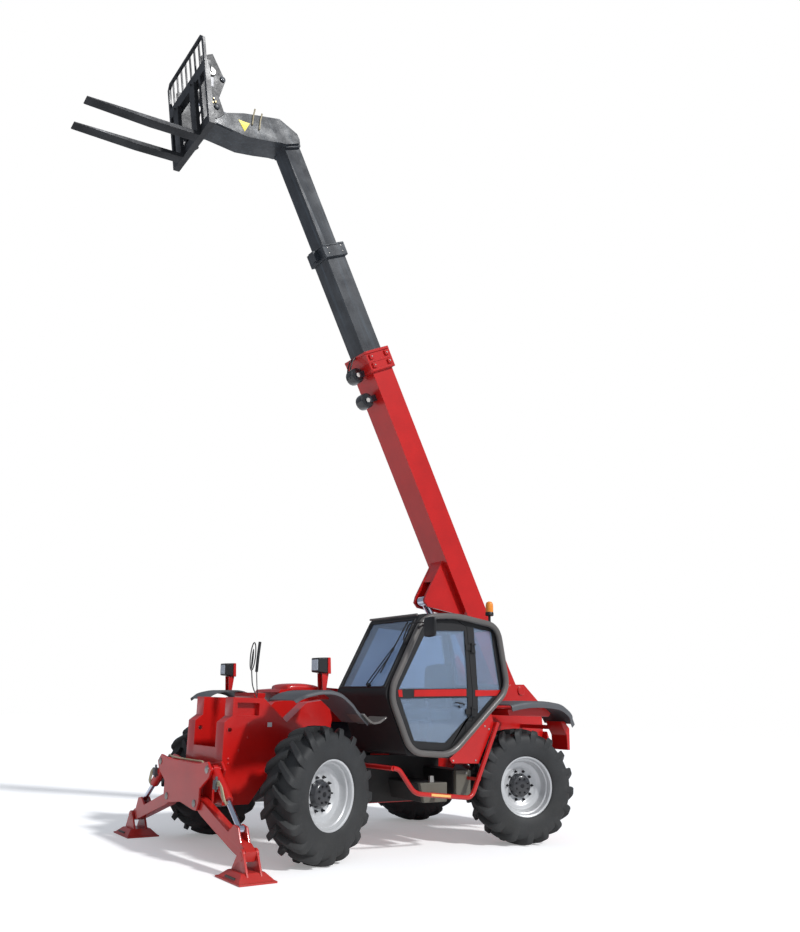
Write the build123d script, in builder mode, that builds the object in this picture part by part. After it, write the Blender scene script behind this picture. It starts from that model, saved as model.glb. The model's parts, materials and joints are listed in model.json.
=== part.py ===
from build123d import *
from math import atan2, cos, degrees, hypot, pi, radians, sin, sqrt
import os

os.makedirs("parts", exist_ok=True)

# Telehandler with a three-section boom. Lengths are in millimetres and angles in degrees.
# +X points forward, +Y to the driver's side (left) and +Z up. The ground is Z = 0.
# In side outlines, x is measured forward from the rear axle and z up from the ground.

# Running gear
wheelbase = 2800
wheel_radius = 620
tyre_width = 400
tread_radius = 582
bead_radius = 305
flange_radius = 330
rim_width = 336
rim_wall = 14
flange_depth = 22
hub_radius = 100
spindle_radius = 60
knuckle_half = 40
kingpin_half = 800
kingpin_radius = 25
wheel_offset = 210
front_steer = 16
rear_steer = -16
lug_count = 17
lug_width = 44
lug_sweep = 15
axle_radius = 85
yoke_height = 95
yoke_web = 720
arch_z = 800
disc_inboard = 10
disc_thick = 16
hub_reach = 75
dish_radius = 262

# Fits
running = 0.05
pin_gap = 0.5
pin_sides = 16
seat_gap = 0.3
play = 5

# Boom
boom_angle = 61
pivot_x = -720
pivot_z = 1690
pivot_radius = 45
axis_drop = 79
base_width = 365
base_height = 337
base_rear = 250
base_front = 4710
base_wall = 8
base_collar = 270
mid_width = 283
mid_height = 299
mid_wall = 8
mid_length = 4600
mid_collar = 170
mid_out = 1220
inner_width = 230
inner_height = 234
inner_wall = 8
inner_length = 4480
inner_out = 1220
collar_gap = 10
head_gap = 50
collar_wall = 32
wear_pad = 120
cheek_inner = 150
cheek_lap = 20
root_boss = 75
lug_inner = 80
lug_plate = 30
lifting_hole = 20
drum_seat = 0.3
head_width = 340
head_plate = 25

# Boom head and carriage
head_pivot_ahead = 371
head_pivot_drop = 1058
fork_tilt = 9
fork_length = 1200
fork_width = 125
fork_thick = 50
fork_half = 225
shank_front = 233
blade_top = -322
shank_height = 600
carriage_half = 500
backrest_top = 760
backrest_bars = 7
rail_top = 430
post_width = 40
coupler_half = 355
coupler_plate = 20

# Hydraulic cylinders
lift_base_x = -640
lift_base_z = 980
lift_lug_s = 1575
lift_lug_drop = 680
tilt_base_s = 40
tilt_lever = 300
tilt_lever_angle = 83
boom_low = -63
lift_bore = 75
lift_rod_radius = 45
tilt_back = -80
tilt_bore = 50
tilt_rod_radius = 28
leg_up = -40
stay_bore = 48
stay_rod_radius = 25
pin_radius = 25

# Chassis
frame_inner = 250
frame_outer = 330
tower_outer = 420
ear_inner = 190
sill_bottom = 430
sill_top = 890
frame_front = 3470
tail_x = -1200
counterweight_half = 400

# Stabilisers
leg_plane_x = 3605
leg_width = 100
beam_plate = 25
leg_root_y = 330
leg_root_z = 500
knuckle_y = 1300
knuckle_z = 200
ear_pin_y = 560
ear_pin_z = 820
leg_eye_y = 1130
leg_eye_z = 370
leg_depth = 130
pad_length = 350
pad_width = 450

# Cab
cab_inner = 260
cab_outer = 1120
cab_wall = 30
loop_radius = 33
loop_chamfer = 18
cab_corner = 110
glass_thick = 6
door_gap = 6
window_margin = 75
floor_z = 1000

# Boom directions, worked out from the angle at which the boom is stored
along = (cos(radians(boom_angle)), sin(radians(boom_angle)))
upward = (-along[1], along[0])
mid_front = base_front + collar_gap + mid_out + mid_collar
mid_rear = mid_front - mid_length
head_start = mid_front + head_gap + inner_out
inner_rear = head_start - inner_length
tilt_s = head_start + head_pivot_ahead
tilt_t = -axis_drop - head_pivot_drop
tilt_x = pivot_x + tilt_s * along[0] + tilt_t * upward[0]
tilt_z = pivot_z + tilt_s * along[1] + tilt_t * upward[1]
fork_tip_x = tilt_x + (shank_front + fork_length) * cos(radians(fork_tilt)) \
    + blade_top * sin(radians(fork_tilt))

# The row's origin lies under the middle of the whole machine
rear_x = -(fork_tip_x + tail_x) / 2


def side_plane(y):
    return Plane(origin=(rear_x, y, 0), x_dir=(1, 0, 0), z_dir=(0, -1, 0))


def boom_plane(y):
    origin = (rear_x + pivot_x, y, pivot_z)
    return Plane(origin=origin, x_dir=(along[0], 0, along[1]), z_dir=(0, -1, 0))


def boom_section(s):
    centre = boom_plane(0).from_local_coords((s, -axis_drop, 0))
    return Plane(origin=centre, x_dir=(0, 1, 0), z_dir=(along[0], 0, along[1]))


def carriage_plane(y):
    tilt = radians(fork_tilt)
    return Plane(origin=(rear_x + tilt_x, y, tilt_z), x_dir=(cos(tilt), 0, -sin(tilt)), z_dir=(0, -1, 0))


# A closed outline in a given plane, drawn in by a margin where one is given
def outline(plane, points, margin=0):
    with BuildSketch(plane) as drawn:
        with BuildLine():
            Polyline(*points, close=True)
        make_face()
        if margin:
            offset(amount=-margin, kind=Kind.INTERSECTION, mode=Mode.REPLACE)
    return drawn.sketch


# A box between two corners, x being measured from the rear axle
def block(x, y, z, mode=Mode.ADD):
    with Locations((rear_x + (x[0] + x[1]) / 2, (y[0] + y[1]) / 2, (z[0] + z[1]) / 2)):
        Box(abs(x[1] - x[0]), abs(y[1] - y[0]), abs(z[1] - z[0]), mode=mode)


# A round bar across the machine, from one y to another
def cross_bar(x, z, y, radius, mode=Mode.ADD):
    with Locations(Plane(origin=(rear_x + x, (y[0] + y[1]) / 2, z), z_dir=(0, 1, 0))):
        Cylinder(radius, abs(y[1] - y[0]), mode=mode)


# A small pin, or the bore that it turns in: many-sided, with the pin's corners clear of the bore's flats
def pin(plane, radius, length):
    with BuildSketch(plane) as drawn:
        RegularPolygon(radius, pin_sides)
    extrude(drawn.sketch, amount=length / 2, both=True)


def pin_bore(plane, radius, length):
    with BuildSketch(plane) as drawn:
        RegularPolygon(radius + pin_gap, pin_sides, major_radius=False)
    extrude(drawn.sketch, amount=length / 2, both=True, mode=Mode.SUBTRACT)


def vertical(x, y, z):
    return Plane(origin=(rear_x + x, y, z))


def lengthwise(x, y, z):
    return Plane(origin=(rear_x + x, y, z), z_dir=(1, 0, 0))


def save(part, name):
    part.label = name
    export_step(part, "parts/" + name + ".step")


# Chassis: two fabricated side members, higher at the front towers and at the boom ears
member_points = [
    (3470, 760), (3470, 1240), (3390, 1300), (3390, 1480), (3050, 1480), (2780, 1250), (2550, 1450),
    (2290, 1490), (2130, sill_top), (560, sill_top), (60, 1200), (-540, 1760), (-780, 1770),
    (-1090, 1530), (-1120, 1200), (-1120, 520), (-760, 520), (-420, arch_z), (420, arch_z), (640, sill_bottom),
    (2060, sill_bottom), (2330, arch_z), (2910, arch_z), (3160, 480), (3440, 480),
]
tower_points = [
    (3470, 760), (3470, 1240), (3390, 1300), (3390, 1480), (3050, 1480), (2780, 1250), (2550, 1450),
    (2290, 1490), (2230, 1290), (2330, arch_z), (2910, arch_z), (3160, 480), (3440, 480),
]
recess_points = [(3340, 1310), (3340, 1430), (3100, 1430), (3100, 1310)]
for side, name in ((1, "frame_left"), (-1, "frame_right")):
    member_y = frame_outer if side > 0 else -frame_inner
    tower_y = tower_outer if side > 0 else -frame_outer
    ear_y = frame_inner if side > 0 else -ear_inner
    with BuildPart() as member:
        extrude(outline(side_plane(member_y), member_points), amount=frame_outer - frame_inner)
        extrude(outline(side_plane(tower_y), tower_points), amount=tower_outer - frame_outer)
        block((700, 2020), (side * frame_outer, side * tower_outer), (sill_bottom, 700))
        # Recess in the outer face of the tower
        recess_y = tower_outer if side > 0 else -tower_outer + 60
        extrude(outline(side_plane(recess_y), recess_points), amount=60, mode=Mode.SUBTRACT)
        # Ear that carries the boom pin
        with BuildSketch(side_plane(ear_y)):
            with BuildLine():
                Polyline((-1000, 1300), (-1000, 1500), (-780, 1770), (-540, 1760), (-420, 1300), close=True)
            make_face()
        extrude(amount=frame_inner - ear_inner)
        cross_bar(pivot_x, pivot_z, (side * ear_inner, side * frame_outer), pivot_radius + running, Mode.SUBTRACT)
        # Tie-down hole in the front
        cross_bar(3410, 1170, (side * frame_inner, side * tower_outer), 22, Mode.SUBTRACT)
    save(member.part, name)

# Cross members, the boom pin and the lift cylinder's pin between its two ears
with BuildPart() as cross_members:
    block((frame_front - 30, frame_front), (-frame_inner, frame_inner), (480, 1000))
    block((2600, 2760), (-frame_inner, frame_inner), (810, 900))
    block((1700, 1900), (-frame_inner, frame_inner), (450, 640))
    block((700, 900), (-frame_inner, frame_inner), (450, 640))
    block((-1080, -800), (-frame_inner, frame_inner), (850, 890))
    for side in (1, -1):
        lift_ear_y = lug_inner + lug_plate if side > 0 else -lug_inner
        ear_points = [(-800, 850), (-800, 1000), (-660, 1080), (-560, 980), (-600, 880), (-720, 850)]
        extrude(outline(side_plane(lift_ear_y), ear_points), amount=lug_plate)
    cross_bar(lift_base_x, lift_base_z, (-lug_inner, lug_inner), 40)
    cross_bar(pivot_x, pivot_z, (-frame_outer, frame_outer), pivot_radius)
save(cross_members.part, "cross_members")

# Counterweight with the towing jaw
with BuildPart() as counterweight:
    with BuildSketch(side_plane(counterweight_half)):
        with BuildLine():
            Polyline((-1150, 640), (-1150, 1120), (-1120.3, 1190), (-1120.3, 560), close=True)
        make_face()
    extrude(amount=2 * counterweight_half)
    block((-1121, -820), (-frame_inner, frame_inner), (560, 845))
    block((tail_x, -1150), (-70, 70), (700, 730))
    block((tail_x, -1150), (-70, 70), (790, 820))
    with Locations((rear_x + tail_x + 25, 0, 760)):
        Cylinder(15, 120, mode=Mode.SUBTRACT)
save(counterweight.part, "counterweight")

# Stabiliser beam across the front: two cheek plates around a centre box
rear_cheek = leg_plane_x - leg_width / 2 - play
front_cheek = leg_plane_x + leg_width / 2 + play
cheek_half = [
    (0, 480), (300, 440), (380, 440), (420, 520), (420, 640), (600, 750), (640, 820), (560, 890), (480, 880),
    (350, 860), (0, 860),
]
with BuildPart() as stabiliser_beam:
    for low, high in ((rear_cheek - beam_plate, rear_cheek), (front_cheek, front_cheek + beam_plate)):
        for side in (1, -1):
            points = [(side * y, z) for y, z in cheek_half]
            plane = Plane(origin=(rear_x + low, 0, 0), x_dir=(0, 1, 0), z_dir=(1, 0, 0))
            extrude(outline(plane, points), amount=beam_plate)
    block((frame_front, front_cheek), (-220, 220), (490, 850))
    for side in (1, -1):
        for y, z in ((ear_pin_y, ear_pin_z), (leg_root_y, leg_root_z)):
            pin(lengthwise(leg_plane_x, side * y, z), pin_radius, leg_width + 2 * play)
save(stabiliser_beam.part, "stabiliser_beam")


# Wheel positions: the steering angle turns each wheel about its kingpin
def wheel_frame(axle_x, side, steer):
    turn = radians(steer)
    outward = (-side * sin(turn), side * cos(turn), 0)
    heading = (cos(turn), sin(turn), 0)
    centre = (
        rear_x + axle_x + wheel_offset * outward[0],
        side * kingpin_half + wheel_offset * outward[1],
        wheel_radius,
    )
    return Plane(origin=centre, x_dir=heading, z_dir=outward)


corners = {
    "front_left": (wheelbase, 1, front_steer),
    "front_right": (wheelbase, -1, front_steer),
    "rear_left": (0, 1, rear_steer),
    "rear_right": (0, -1, rear_steer),
}

# Axles with a yoke at each end and a saddle under each side member
for name, axle_x in (("front_axle", wheelbase), ("rear_axle", 0)):
    plane = Plane(origin=(rear_x + axle_x, 0, wheel_radius), z_dir=(0, 1, 0))
    with BuildPart() as axle:
        with BuildSketch(plane):
            RegularPolygon(axle_radius, 8, rotation=22.5, major_radius=False)
        extrude(amount=yoke_web, both=True)
        with BuildSketch(plane):
            RegularPolygon(175, 8, rotation=22.5, major_radius=False)
        extrude(amount=150, both=True, taper=25)
        for side in (1, -1):
            block((axle_x - 60, axle_x + 60), (side * (yoke_web - 20), side * (yoke_web + 15)),
                  (wheel_radius - yoke_height - 35, wheel_radius + yoke_height + 35))
            for up in (1, -1):
                inner_z = wheel_radius + up * yoke_height
                block((axle_x - 60, axle_x + 60), (side * (yoke_web + 15), side * (kingpin_half + 45)),
                      (inner_z, inner_z + up * 35))
            pin_bore(vertical(axle_x, side * kingpin_half, wheel_radius), kingpin_radius, 400)
            block((axle_x - 110, axle_x + 110), (side * frame_inner, side * frame_outer),
                  (wheel_radius, arch_z))
    save(axle.part, name)

# Knuckle, made at the origin: +Z is the spindle's outward direction and +Y is up
with BuildPart() as knuckle_blank:
    with BuildSketch(Plane.XY.offset(-wheel_offset - knuckle_half)):
        Rectangle(2 * knuckle_half, 2 * (yoke_height - play))
    extrude(amount=2 * knuckle_half)
    pin(Plane(origin=(0, 0, -wheel_offset), z_dir=(0, 1, 0)), kingpin_radius, 2 * (yoke_height + 30))
    pin(Plane.XY.offset(-(wheel_offset + disc_inboard + seat_gap) / 2), spindle_radius,
        wheel_offset - disc_inboard - seat_gap)

# Rim, made about +Z: barrel with its flanges, dished disc and hub
half = rim_width / 2
with BuildPart() as rim_blank:
    with BuildSketch(Plane.XZ):
        with BuildLine():
            Polyline(
                (0, -disc_inboard), (hub_radius, -disc_inboard), (bead_radius - rim_wall, -half),
                (flange_radius, -half), (bead_radius, flange_depth - half), (bead_radius, half - flange_depth),
                (flange_radius, half), (dish_radius, 50), (hub_radius, disc_thick - disc_inboard),
                (hub_radius - 12, hub_reach), (0, hub_reach), close=True,
            )
        make_face()
    revolve(axis=Axis.Z)

# Tyre, made about +Z: a many-sided carcass, flat between lugs, and two rows of chevron lugs
sides = 2 * lug_count
sidewall = (tyre_width / 2, 450)
tread_edge = (165, tread_radius)
bead = (rim_width / 2 - flange_depth - seat_gap, bead_radius + seat_gap)


def wheel_band(low, high, mode):
    for across, radius in (low, high):
        with BuildSketch(Plane.XY.offset(across)) as ring:
            RegularPolygon(radius, sides, major_radius=False)
        rings.append(ring.sketch)
    loft(rings[-2:], ruled=True, mode=mode)


reach = wheel_radius * radians(lug_sweep)
level = sqrt(wheel_radius**2 - (reach / 2 + lug_width / 2) ** 2)
lug_points = [
    (-12, reach / 2 - lug_width / 2), (-12, reach / 2 + lug_width / 2),
    (194, -reach / 2 + lug_width / 2), (194, -reach / 2 - lug_width / 2),
]
rings = []
first_lug = degrees(atan2(reach / 2 + lug_width / 2, level))
with BuildPart() as tyre_blank:
    outside = [(-sidewall[0], sidewall[1]), (-tread_edge[0], tread_edge[1]), tread_edge, sidewall]
    for low, high in zip(outside[:-1], outside[1:]):
        wheel_band(low, high, Mode.ADD)
    inside = [(-sidewall[0], sidewall[1]), (-bead[0], bead[1]), bead, sidewall]
    for low, high in zip(inside[:-1], inside[1:]):
        wheel_band(low, high, Mode.SUBTRACT)
    lugs = []
    for k in range(lug_count):
        for row in (1, -1):
            angle = radians(90 - first_lug + 360 / lug_count * (k + (0.5 if row < 0 else 0)))
            radial = Vector(cos(angle), sin(angle), 0)
            lug_plane = Plane(origin=radial * level, x_dir=(0, 0, row), z_dir=radial)
            points = [(a, c * row) for a, c in lug_points]
            lugs.append(extrude(outline(lug_plane, points), amount=-(level - tread_radius + 30), mode=Mode.PRIVATE))
    add(lugs)

for corner, (axle_x, side, steer) in corners.items():
    plane = wheel_frame(axle_x, side, steer)
    upright = Plane(origin=plane.origin, x_dir=plane.x_dir * side, z_dir=plane.z_dir)
    with BuildPart() as knuckle:
        with Locations(upright):
            add(knuckle_blank.part)
    save(knuckle.part, "knuckle_" + corner)
    with BuildPart() as rim:
        with Locations(upright):
            add(rim_blank.part)
    save(rim.part, "rim_" + corner)
    with BuildPart() as tyre:
        with Locations(plane):
            add(tyre_blank.part if side > 0 else mirror(tyre_blank.part, about=Plane.XZ, mode=Mode.PRIVATE))
    save(tyre.part, "tyre_" + corner)


# Boom base: a box tube with the mouth's collar and wear pads, its root on the boom pin and the lift bracket
def box_ring(plane, outer, inner, length):
    with BuildSketch(plane) as ring:
        Rectangle(*outer)
        Rectangle(*inner, mode=Mode.SUBTRACT)
    extrude(ring.sketch, amount=length)


base_size = (base_width, base_height)
base_bore = (base_width - 2 * base_wall, base_height - 2 * base_wall)
mid_size = (mid_width, mid_height)
mid_bore = (mid_width - 2 * mid_wall, mid_height - 2 * mid_wall)
inner_size = (inner_width, inner_height)
inner_bore = (inner_width - 2 * inner_wall, inner_height - 2 * inner_wall)


def grown(size, margin):
    return (size[0] + 2 * margin, size[1] + 2 * margin)


base_top = base_height / 2 - axis_drop
base_bottom = -base_height / 2 - axis_drop
root_cheek = [
    (-40, 100), (base_rear, base_top), (base_rear + cheek_lap, base_top), (base_rear + cheek_lap, base_bottom),
    (130, base_bottom), (-95, -55),
]
bracket = [
    (lift_lug_s - 400, base_bottom), (lift_lug_s + 355, base_bottom), (lift_lug_s + 80, -lift_lug_drop - 20),
    (lift_lug_s + 20, -lift_lug_drop - 82), (lift_lug_s - 60, -lift_lug_drop - 60),
]
with BuildPart() as boom_base:
    box_ring(boom_section(base_rear), base_size, base_bore, base_front - base_rear)
    box_ring(boom_section(base_front - base_collar), grown(base_size, collar_wall), base_bore, base_collar)
    box_ring(boom_section(base_front - wear_pad), base_size, grown(mid_size, seat_gap), wear_pad)
    for y in (base_width / 2, -cheek_inner):
        extrude(outline(boom_plane(y), root_cheek), amount=base_width / 2 - cheek_inner)
    with Locations(boom_plane(0)):
        Cylinder(root_boss, 2 * (ear_inner - play))
        Cylinder(pivot_radius + running, 2 * ear_inner, mode=Mode.SUBTRACT)
    for y in (lug_inner + lug_plate, -lug_inner):
        extrude(outline(boom_plane(y), bracket), amount=lug_plate)
    extrude(outline(boom_plane(lug_inner), [
        (lift_lug_s + 355, base_bottom), (lift_lug_s + 335, base_bottom), (lift_lug_s + 180, -lift_lug_drop + 180),
        (lift_lug_s + 192, -lift_lug_drop + 180),
    ]), amount=2 * lug_inner)
    # Lifting lug on top
    extrude(outline(boom_plane(10), [
        (2860, base_top), (3020, base_top), (2975, base_top + 85), (2905, base_top + 85),
    ]), amount=20)
    with Locations(boom_plane(0) * Location((2940, base_top + 45, 0))):
        Cylinder(lifting_hole, 30, mode=Mode.SUBTRACT)
save(boom_base.part, "boom_base")

# Two hose drums under the boom, behind the collar
with BuildPart() as hose_drums:
    for s, collar_bottom in ((base_front - 230, base_bottom - collar_wall - drum_seat),
                             (base_front - 560, base_bottom - drum_seat)):
        pin(boom_plane(0) * Location((s, -axis_drop - 310, 0)), 95, 120)
        extrude(outline(boom_plane(75), [
            (s - 40, collar_bottom), (s + 40, collar_bottom), (s + 30, -axis_drop - 340), (s - 30, -axis_drop - 340),
        ]), amount=15)
save(hose_drums.part, "hose_drums")

with BuildPart() as boom_mid:
    box_ring(boom_section(mid_rear), mid_size, mid_bore, mid_length)
    box_ring(boom_section(mid_front - mid_collar), grown(mid_size, 30), mid_bore, mid_collar)
    box_ring(boom_section(mid_front - wear_pad), mid_size, grown(inner_size, seat_gap), wear_pad)
    box_ring(boom_section(mid_rear), grown(base_bore, -seat_gap), mid_bore, wear_pad)
save(boom_mid.part, "boom_mid")


# Boom head: two plates that drop from the inner section's end to the carriage pivot
def head_point(s, t):
    return (head_start + s, t - axis_drop)


head_outline = [head_point(s, t) for s, t in (
    (0, 100), (50, 117), (120, 112), (316, -70), (400, -560), (411, -820), (head_pivot_ahead + 66, -head_pivot_drop),
    (head_pivot_ahead + 20, -head_pivot_drop - 66), (head_pivot_ahead - 45, -head_pivot_drop - 50), (290, -980),
    (200, -800), (116, -640), (60, -400), (20, -180), (0, -117),
)]
head_y = head_width / 2
with BuildPart() as boom_inner:
    box_ring(boom_section(inner_rear), inner_size, inner_bore, inner_length)
    box_ring(boom_section(inner_rear), grown(mid_bore, -seat_gap), inner_bore, wear_pad)
    for y in (head_y, -head_y + head_plate):
        extrude(outline(boom_plane(y), head_outline), amount=head_plate)
    inside = 2 * (head_y - head_plate)
    # Closing plates between the two: around the tube's end, along the top and along the underside
    extrude(outline(boom_plane(inside / 2), [
        head_point(s, t) for s, t in ((-15, 117), (0, 117), (50, 117), (120, 112), (316, -70), (304, -82), (115, 97), (-15, 97))
    ]), amount=inside)
    extrude(outline(boom_plane(inside / 2), [
        head_point(s, t) for s, t in ((-15, -117), (0, -117), (20, -180), (60, -400), (116, -640), (200, -800),
                                      (214, -793), (131, -634), (75, -400), (35, -180), (20, -100), (-15, -100))
    ]), amount=inside)
    for y in (head_y - head_plate, -inner_width / 2):
        extrude(outline(boom_plane(y), [head_point(s, t) for s, t in ((-30, 110), (60, 110), (60, -110), (-30, -110))]),
                amount=head_y - head_plate - inner_width / 2)
    with Locations(boom_plane(0) * Location((*head_point(head_pivot_ahead, -head_pivot_drop), 0))):
        Cylinder(30 + running, head_width, mode=Mode.SUBTRACT)
    pin(boom_plane(0) * Location((*head_point(tilt_base_s, 0), 0)), pin_radius, inside)
save(boom_inner.part, "boom_inner")

# Carriage on the boom head's pivot pin, in its own plane: u along the forks and w up the shanks
lever_u = tilt_lever * cos(radians(tilt_lever_angle))
lever_w = tilt_lever * sin(radians(tilt_lever_angle))
frame_u = shank_front - fork_thick
coupler_outline = [
    (frame_u - 40, 581), (-3, 657), (-138, 363), (-40, 125), (-92, -55), (2, -141), (frame_u - 40, -141),
]
with BuildPart() as carriage:
    for side in (1, -1):
        coupler_y = coupler_half if side > 0 else -coupler_half + coupler_plate
        extrude(outline(carriage_plane(coupler_y), coupler_outline), amount=coupler_plate)
        post_y = carriage_half if side > 0 else -carriage_half + post_width
        extrude(outline(carriage_plane(post_y), [
            (frame_u - 60, -330), (frame_u, -330), (frame_u, backrest_top - 60), (frame_u - 30, backrest_top - 60),
            (frame_u - 30, rail_top), (frame_u - 60, rail_top - 30),
        ]), amount=post_width)
        bar_y = coupler_half if side > 0 else -coupler_half + 40
        extrude(outline(carriage_plane(bar_y), [(frame_u - 60, -330), (frame_u, -330), (frame_u, rail_top),
                                                (frame_u - 60, rail_top)]), amount=40)
        with Locations(carriage_plane(side * (coupler_half + head_y + play) / 2)):
            Cylinder(50, coupler_half - head_y - play)
        ear_y = 60 if side > 0 else -35
        extrude(outline(carriage_plane(ear_y), [
            (lever_u - 15, lever_w + 42), (frame_u - 60, rail_top), (frame_u, rail_top), (frame_u, rail_top - 120),
            (frame_u - 70, rail_top - 120), (lever_u + 20, lever_w - 42), (lever_u - 40, lever_w - 20),
        ]), amount=25)
    extrude(outline(carriage_plane(carriage_half), [
        (frame_u - 75, rail_top - 120), (frame_u, rail_top - 120), (frame_u, rail_top), (frame_u - 75, rail_top),
    ]), amount=2 * carriage_half)
    extrude(outline(carriage_plane(carriage_half), [
        (frame_u - 75, -330), (frame_u, -330), (frame_u, -230), (frame_u - 75, -230),
    ]), amount=2 * carriage_half)
    with Locations(carriage_plane(0)):
        Cylinder(30, head_width + 60)
    # Load backrest
    bar_pitch = (2 * carriage_half - post_width) / (backrest_bars + 1)
    for k in range(1, backrest_bars + 1):
        y = carriage_half - post_width / 2 - k * bar_pitch + 9
        extrude(outline(carriage_plane(y), [(frame_u - 24, rail_top), (frame_u - 6, rail_top),
                                            (frame_u - 6, backrest_top - 20), (frame_u - 24, backrest_top - 20)]), amount=18)
    top_plane = carriage_plane(0).offset(0)
    face = Plane(origin=top_plane.from_local_coords((frame_u - 30, 0, 0)), x_dir=(0, 1, 0), z_dir=top_plane.x_dir)
    extrude(outline(face, [
        (-carriage_half, backrest_top - 60), (60 - carriage_half, backrest_top), (carriage_half - 60, backrest_top),
        (carriage_half, backrest_top - 60), (carriage_half - 36, backrest_top - 60), (carriage_half - 78, backrest_top - 30),
        (78 - carriage_half, backrest_top - 30), (36 - carriage_half, backrest_top - 60),
    ]), amount=30)
save(carriage.part, "carriage")

with BuildPart() as forks:
    for side in (1, -1):
        y = side * fork_half + fork_width / 2
        extrude(outline(carriage_plane(y), [
            (frame_u, blade_top - 20), (frame_u + 20, blade_top - fork_thick), (shank_front + 500, blade_top - fork_thick),
            (shank_front + fork_length, blade_top - 14), (shank_front + fork_length, blade_top),
            (shank_front, blade_top), (shank_front, blade_top + shank_height), (frame_u, blade_top + shank_height),
        ]), amount=fork_width)
save(forks.part, "forks")


# A hydraulic cylinder along its plane's x: barrel from the base pin and rod to the other eye
def cylinder_barrel(plane, closed, barrel, rod, eye_width, bore):
    with BuildPart() as made:
        with BuildSketch(plane):
            with BuildLine():
                Polyline((0.6 * barrel, 0), (0.6 * barrel, barrel), (closed - 1.6 * barrel, barrel),
                         (closed - 1.6 * barrel, rod + running), (1.2 * barrel, rod + running), (1.2 * barrel, 0),
                         close=True)
            make_face()
        revolve(axis=Axis(plane.origin, plane.x_dir))
        pin(plane, 0.8 * barrel, eye_width)
        pin_bore(plane, bore, eye_width)
    return made.part


def cylinder_rod(plane, closed, rest, barrel, rod, eye_width):
    start = rest - closed + 1.5 * barrel
    with BuildPart() as made:
        with BuildSketch(plane):
            with BuildLine():
                Polyline((start, 0), (start, rod), (rest - 0.5 * barrel, rod), (rest - 0.5 * barrel, 0), close=True)
            make_face()
        revolve(axis=Axis(plane.origin, plane.x_dir))
        pin(plane * Location((rest, 0, 0)), 0.8 * barrel, eye_width)
    return made.part


# Length between the eyes once the driven piece has turned about its own pin
def length_at(base, pivot, eye, axis, angle):
    return (pivot + (eye - pivot).rotate(Axis((0, 0, 0), axis), angle) - base).length


# Lift cylinder from the chassis ears to the boom's bracket
lift_eye = boom_plane(0).from_local_coords((lift_lug_s, -lift_lug_drop, 0))
lift_base = Vector(rear_x + lift_base_x, 0, lift_base_z)
lift_rest = (lift_eye - lift_base).length
lift_pivot = Vector(rear_x + pivot_x, 0, pivot_z)
lift_closed = length_at(lift_base, lift_pivot, lift_eye, (0, -1, 0), boom_low) - play
lift_plane = Plane(origin=lift_base, x_dir=lift_eye - lift_base, z_dir=(0, -1, 0))
save(cylinder_barrel(lift_plane, lift_closed, lift_bore, lift_rod_radius, 110, 40), "lift_barrel")
save(cylinder_rod(lift_plane, lift_closed, lift_rest, lift_bore, lift_rod_radius, 110), "lift_rod")

# Tilt cylinder inside the boom head
tilt_eye = carriage_plane(0).from_local_coords((lever_u, lever_w, 0))
tilt_base = boom_plane(0).from_local_coords((*head_point(tilt_base_s, 0), 0))
tilt_rest = (tilt_eye - tilt_base).length
tilt_pivot = Vector(rear_x + tilt_x, 0, tilt_z)
tilt_closed = length_at(tilt_base, tilt_pivot, tilt_eye, (0, 1, 0), tilt_back) - play
tilt_plane = Plane(origin=tilt_base, x_dir=tilt_eye - tilt_base, z_dir=(0, -1, 0))
save(cylinder_barrel(tilt_plane, tilt_closed, tilt_bore, tilt_rod_radius, 60, pin_radius), "tilt_barrel")
save(cylinder_rod(tilt_plane, tilt_closed, tilt_rest, tilt_bore, tilt_rod_radius, 60), "tilt_rod")

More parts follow.
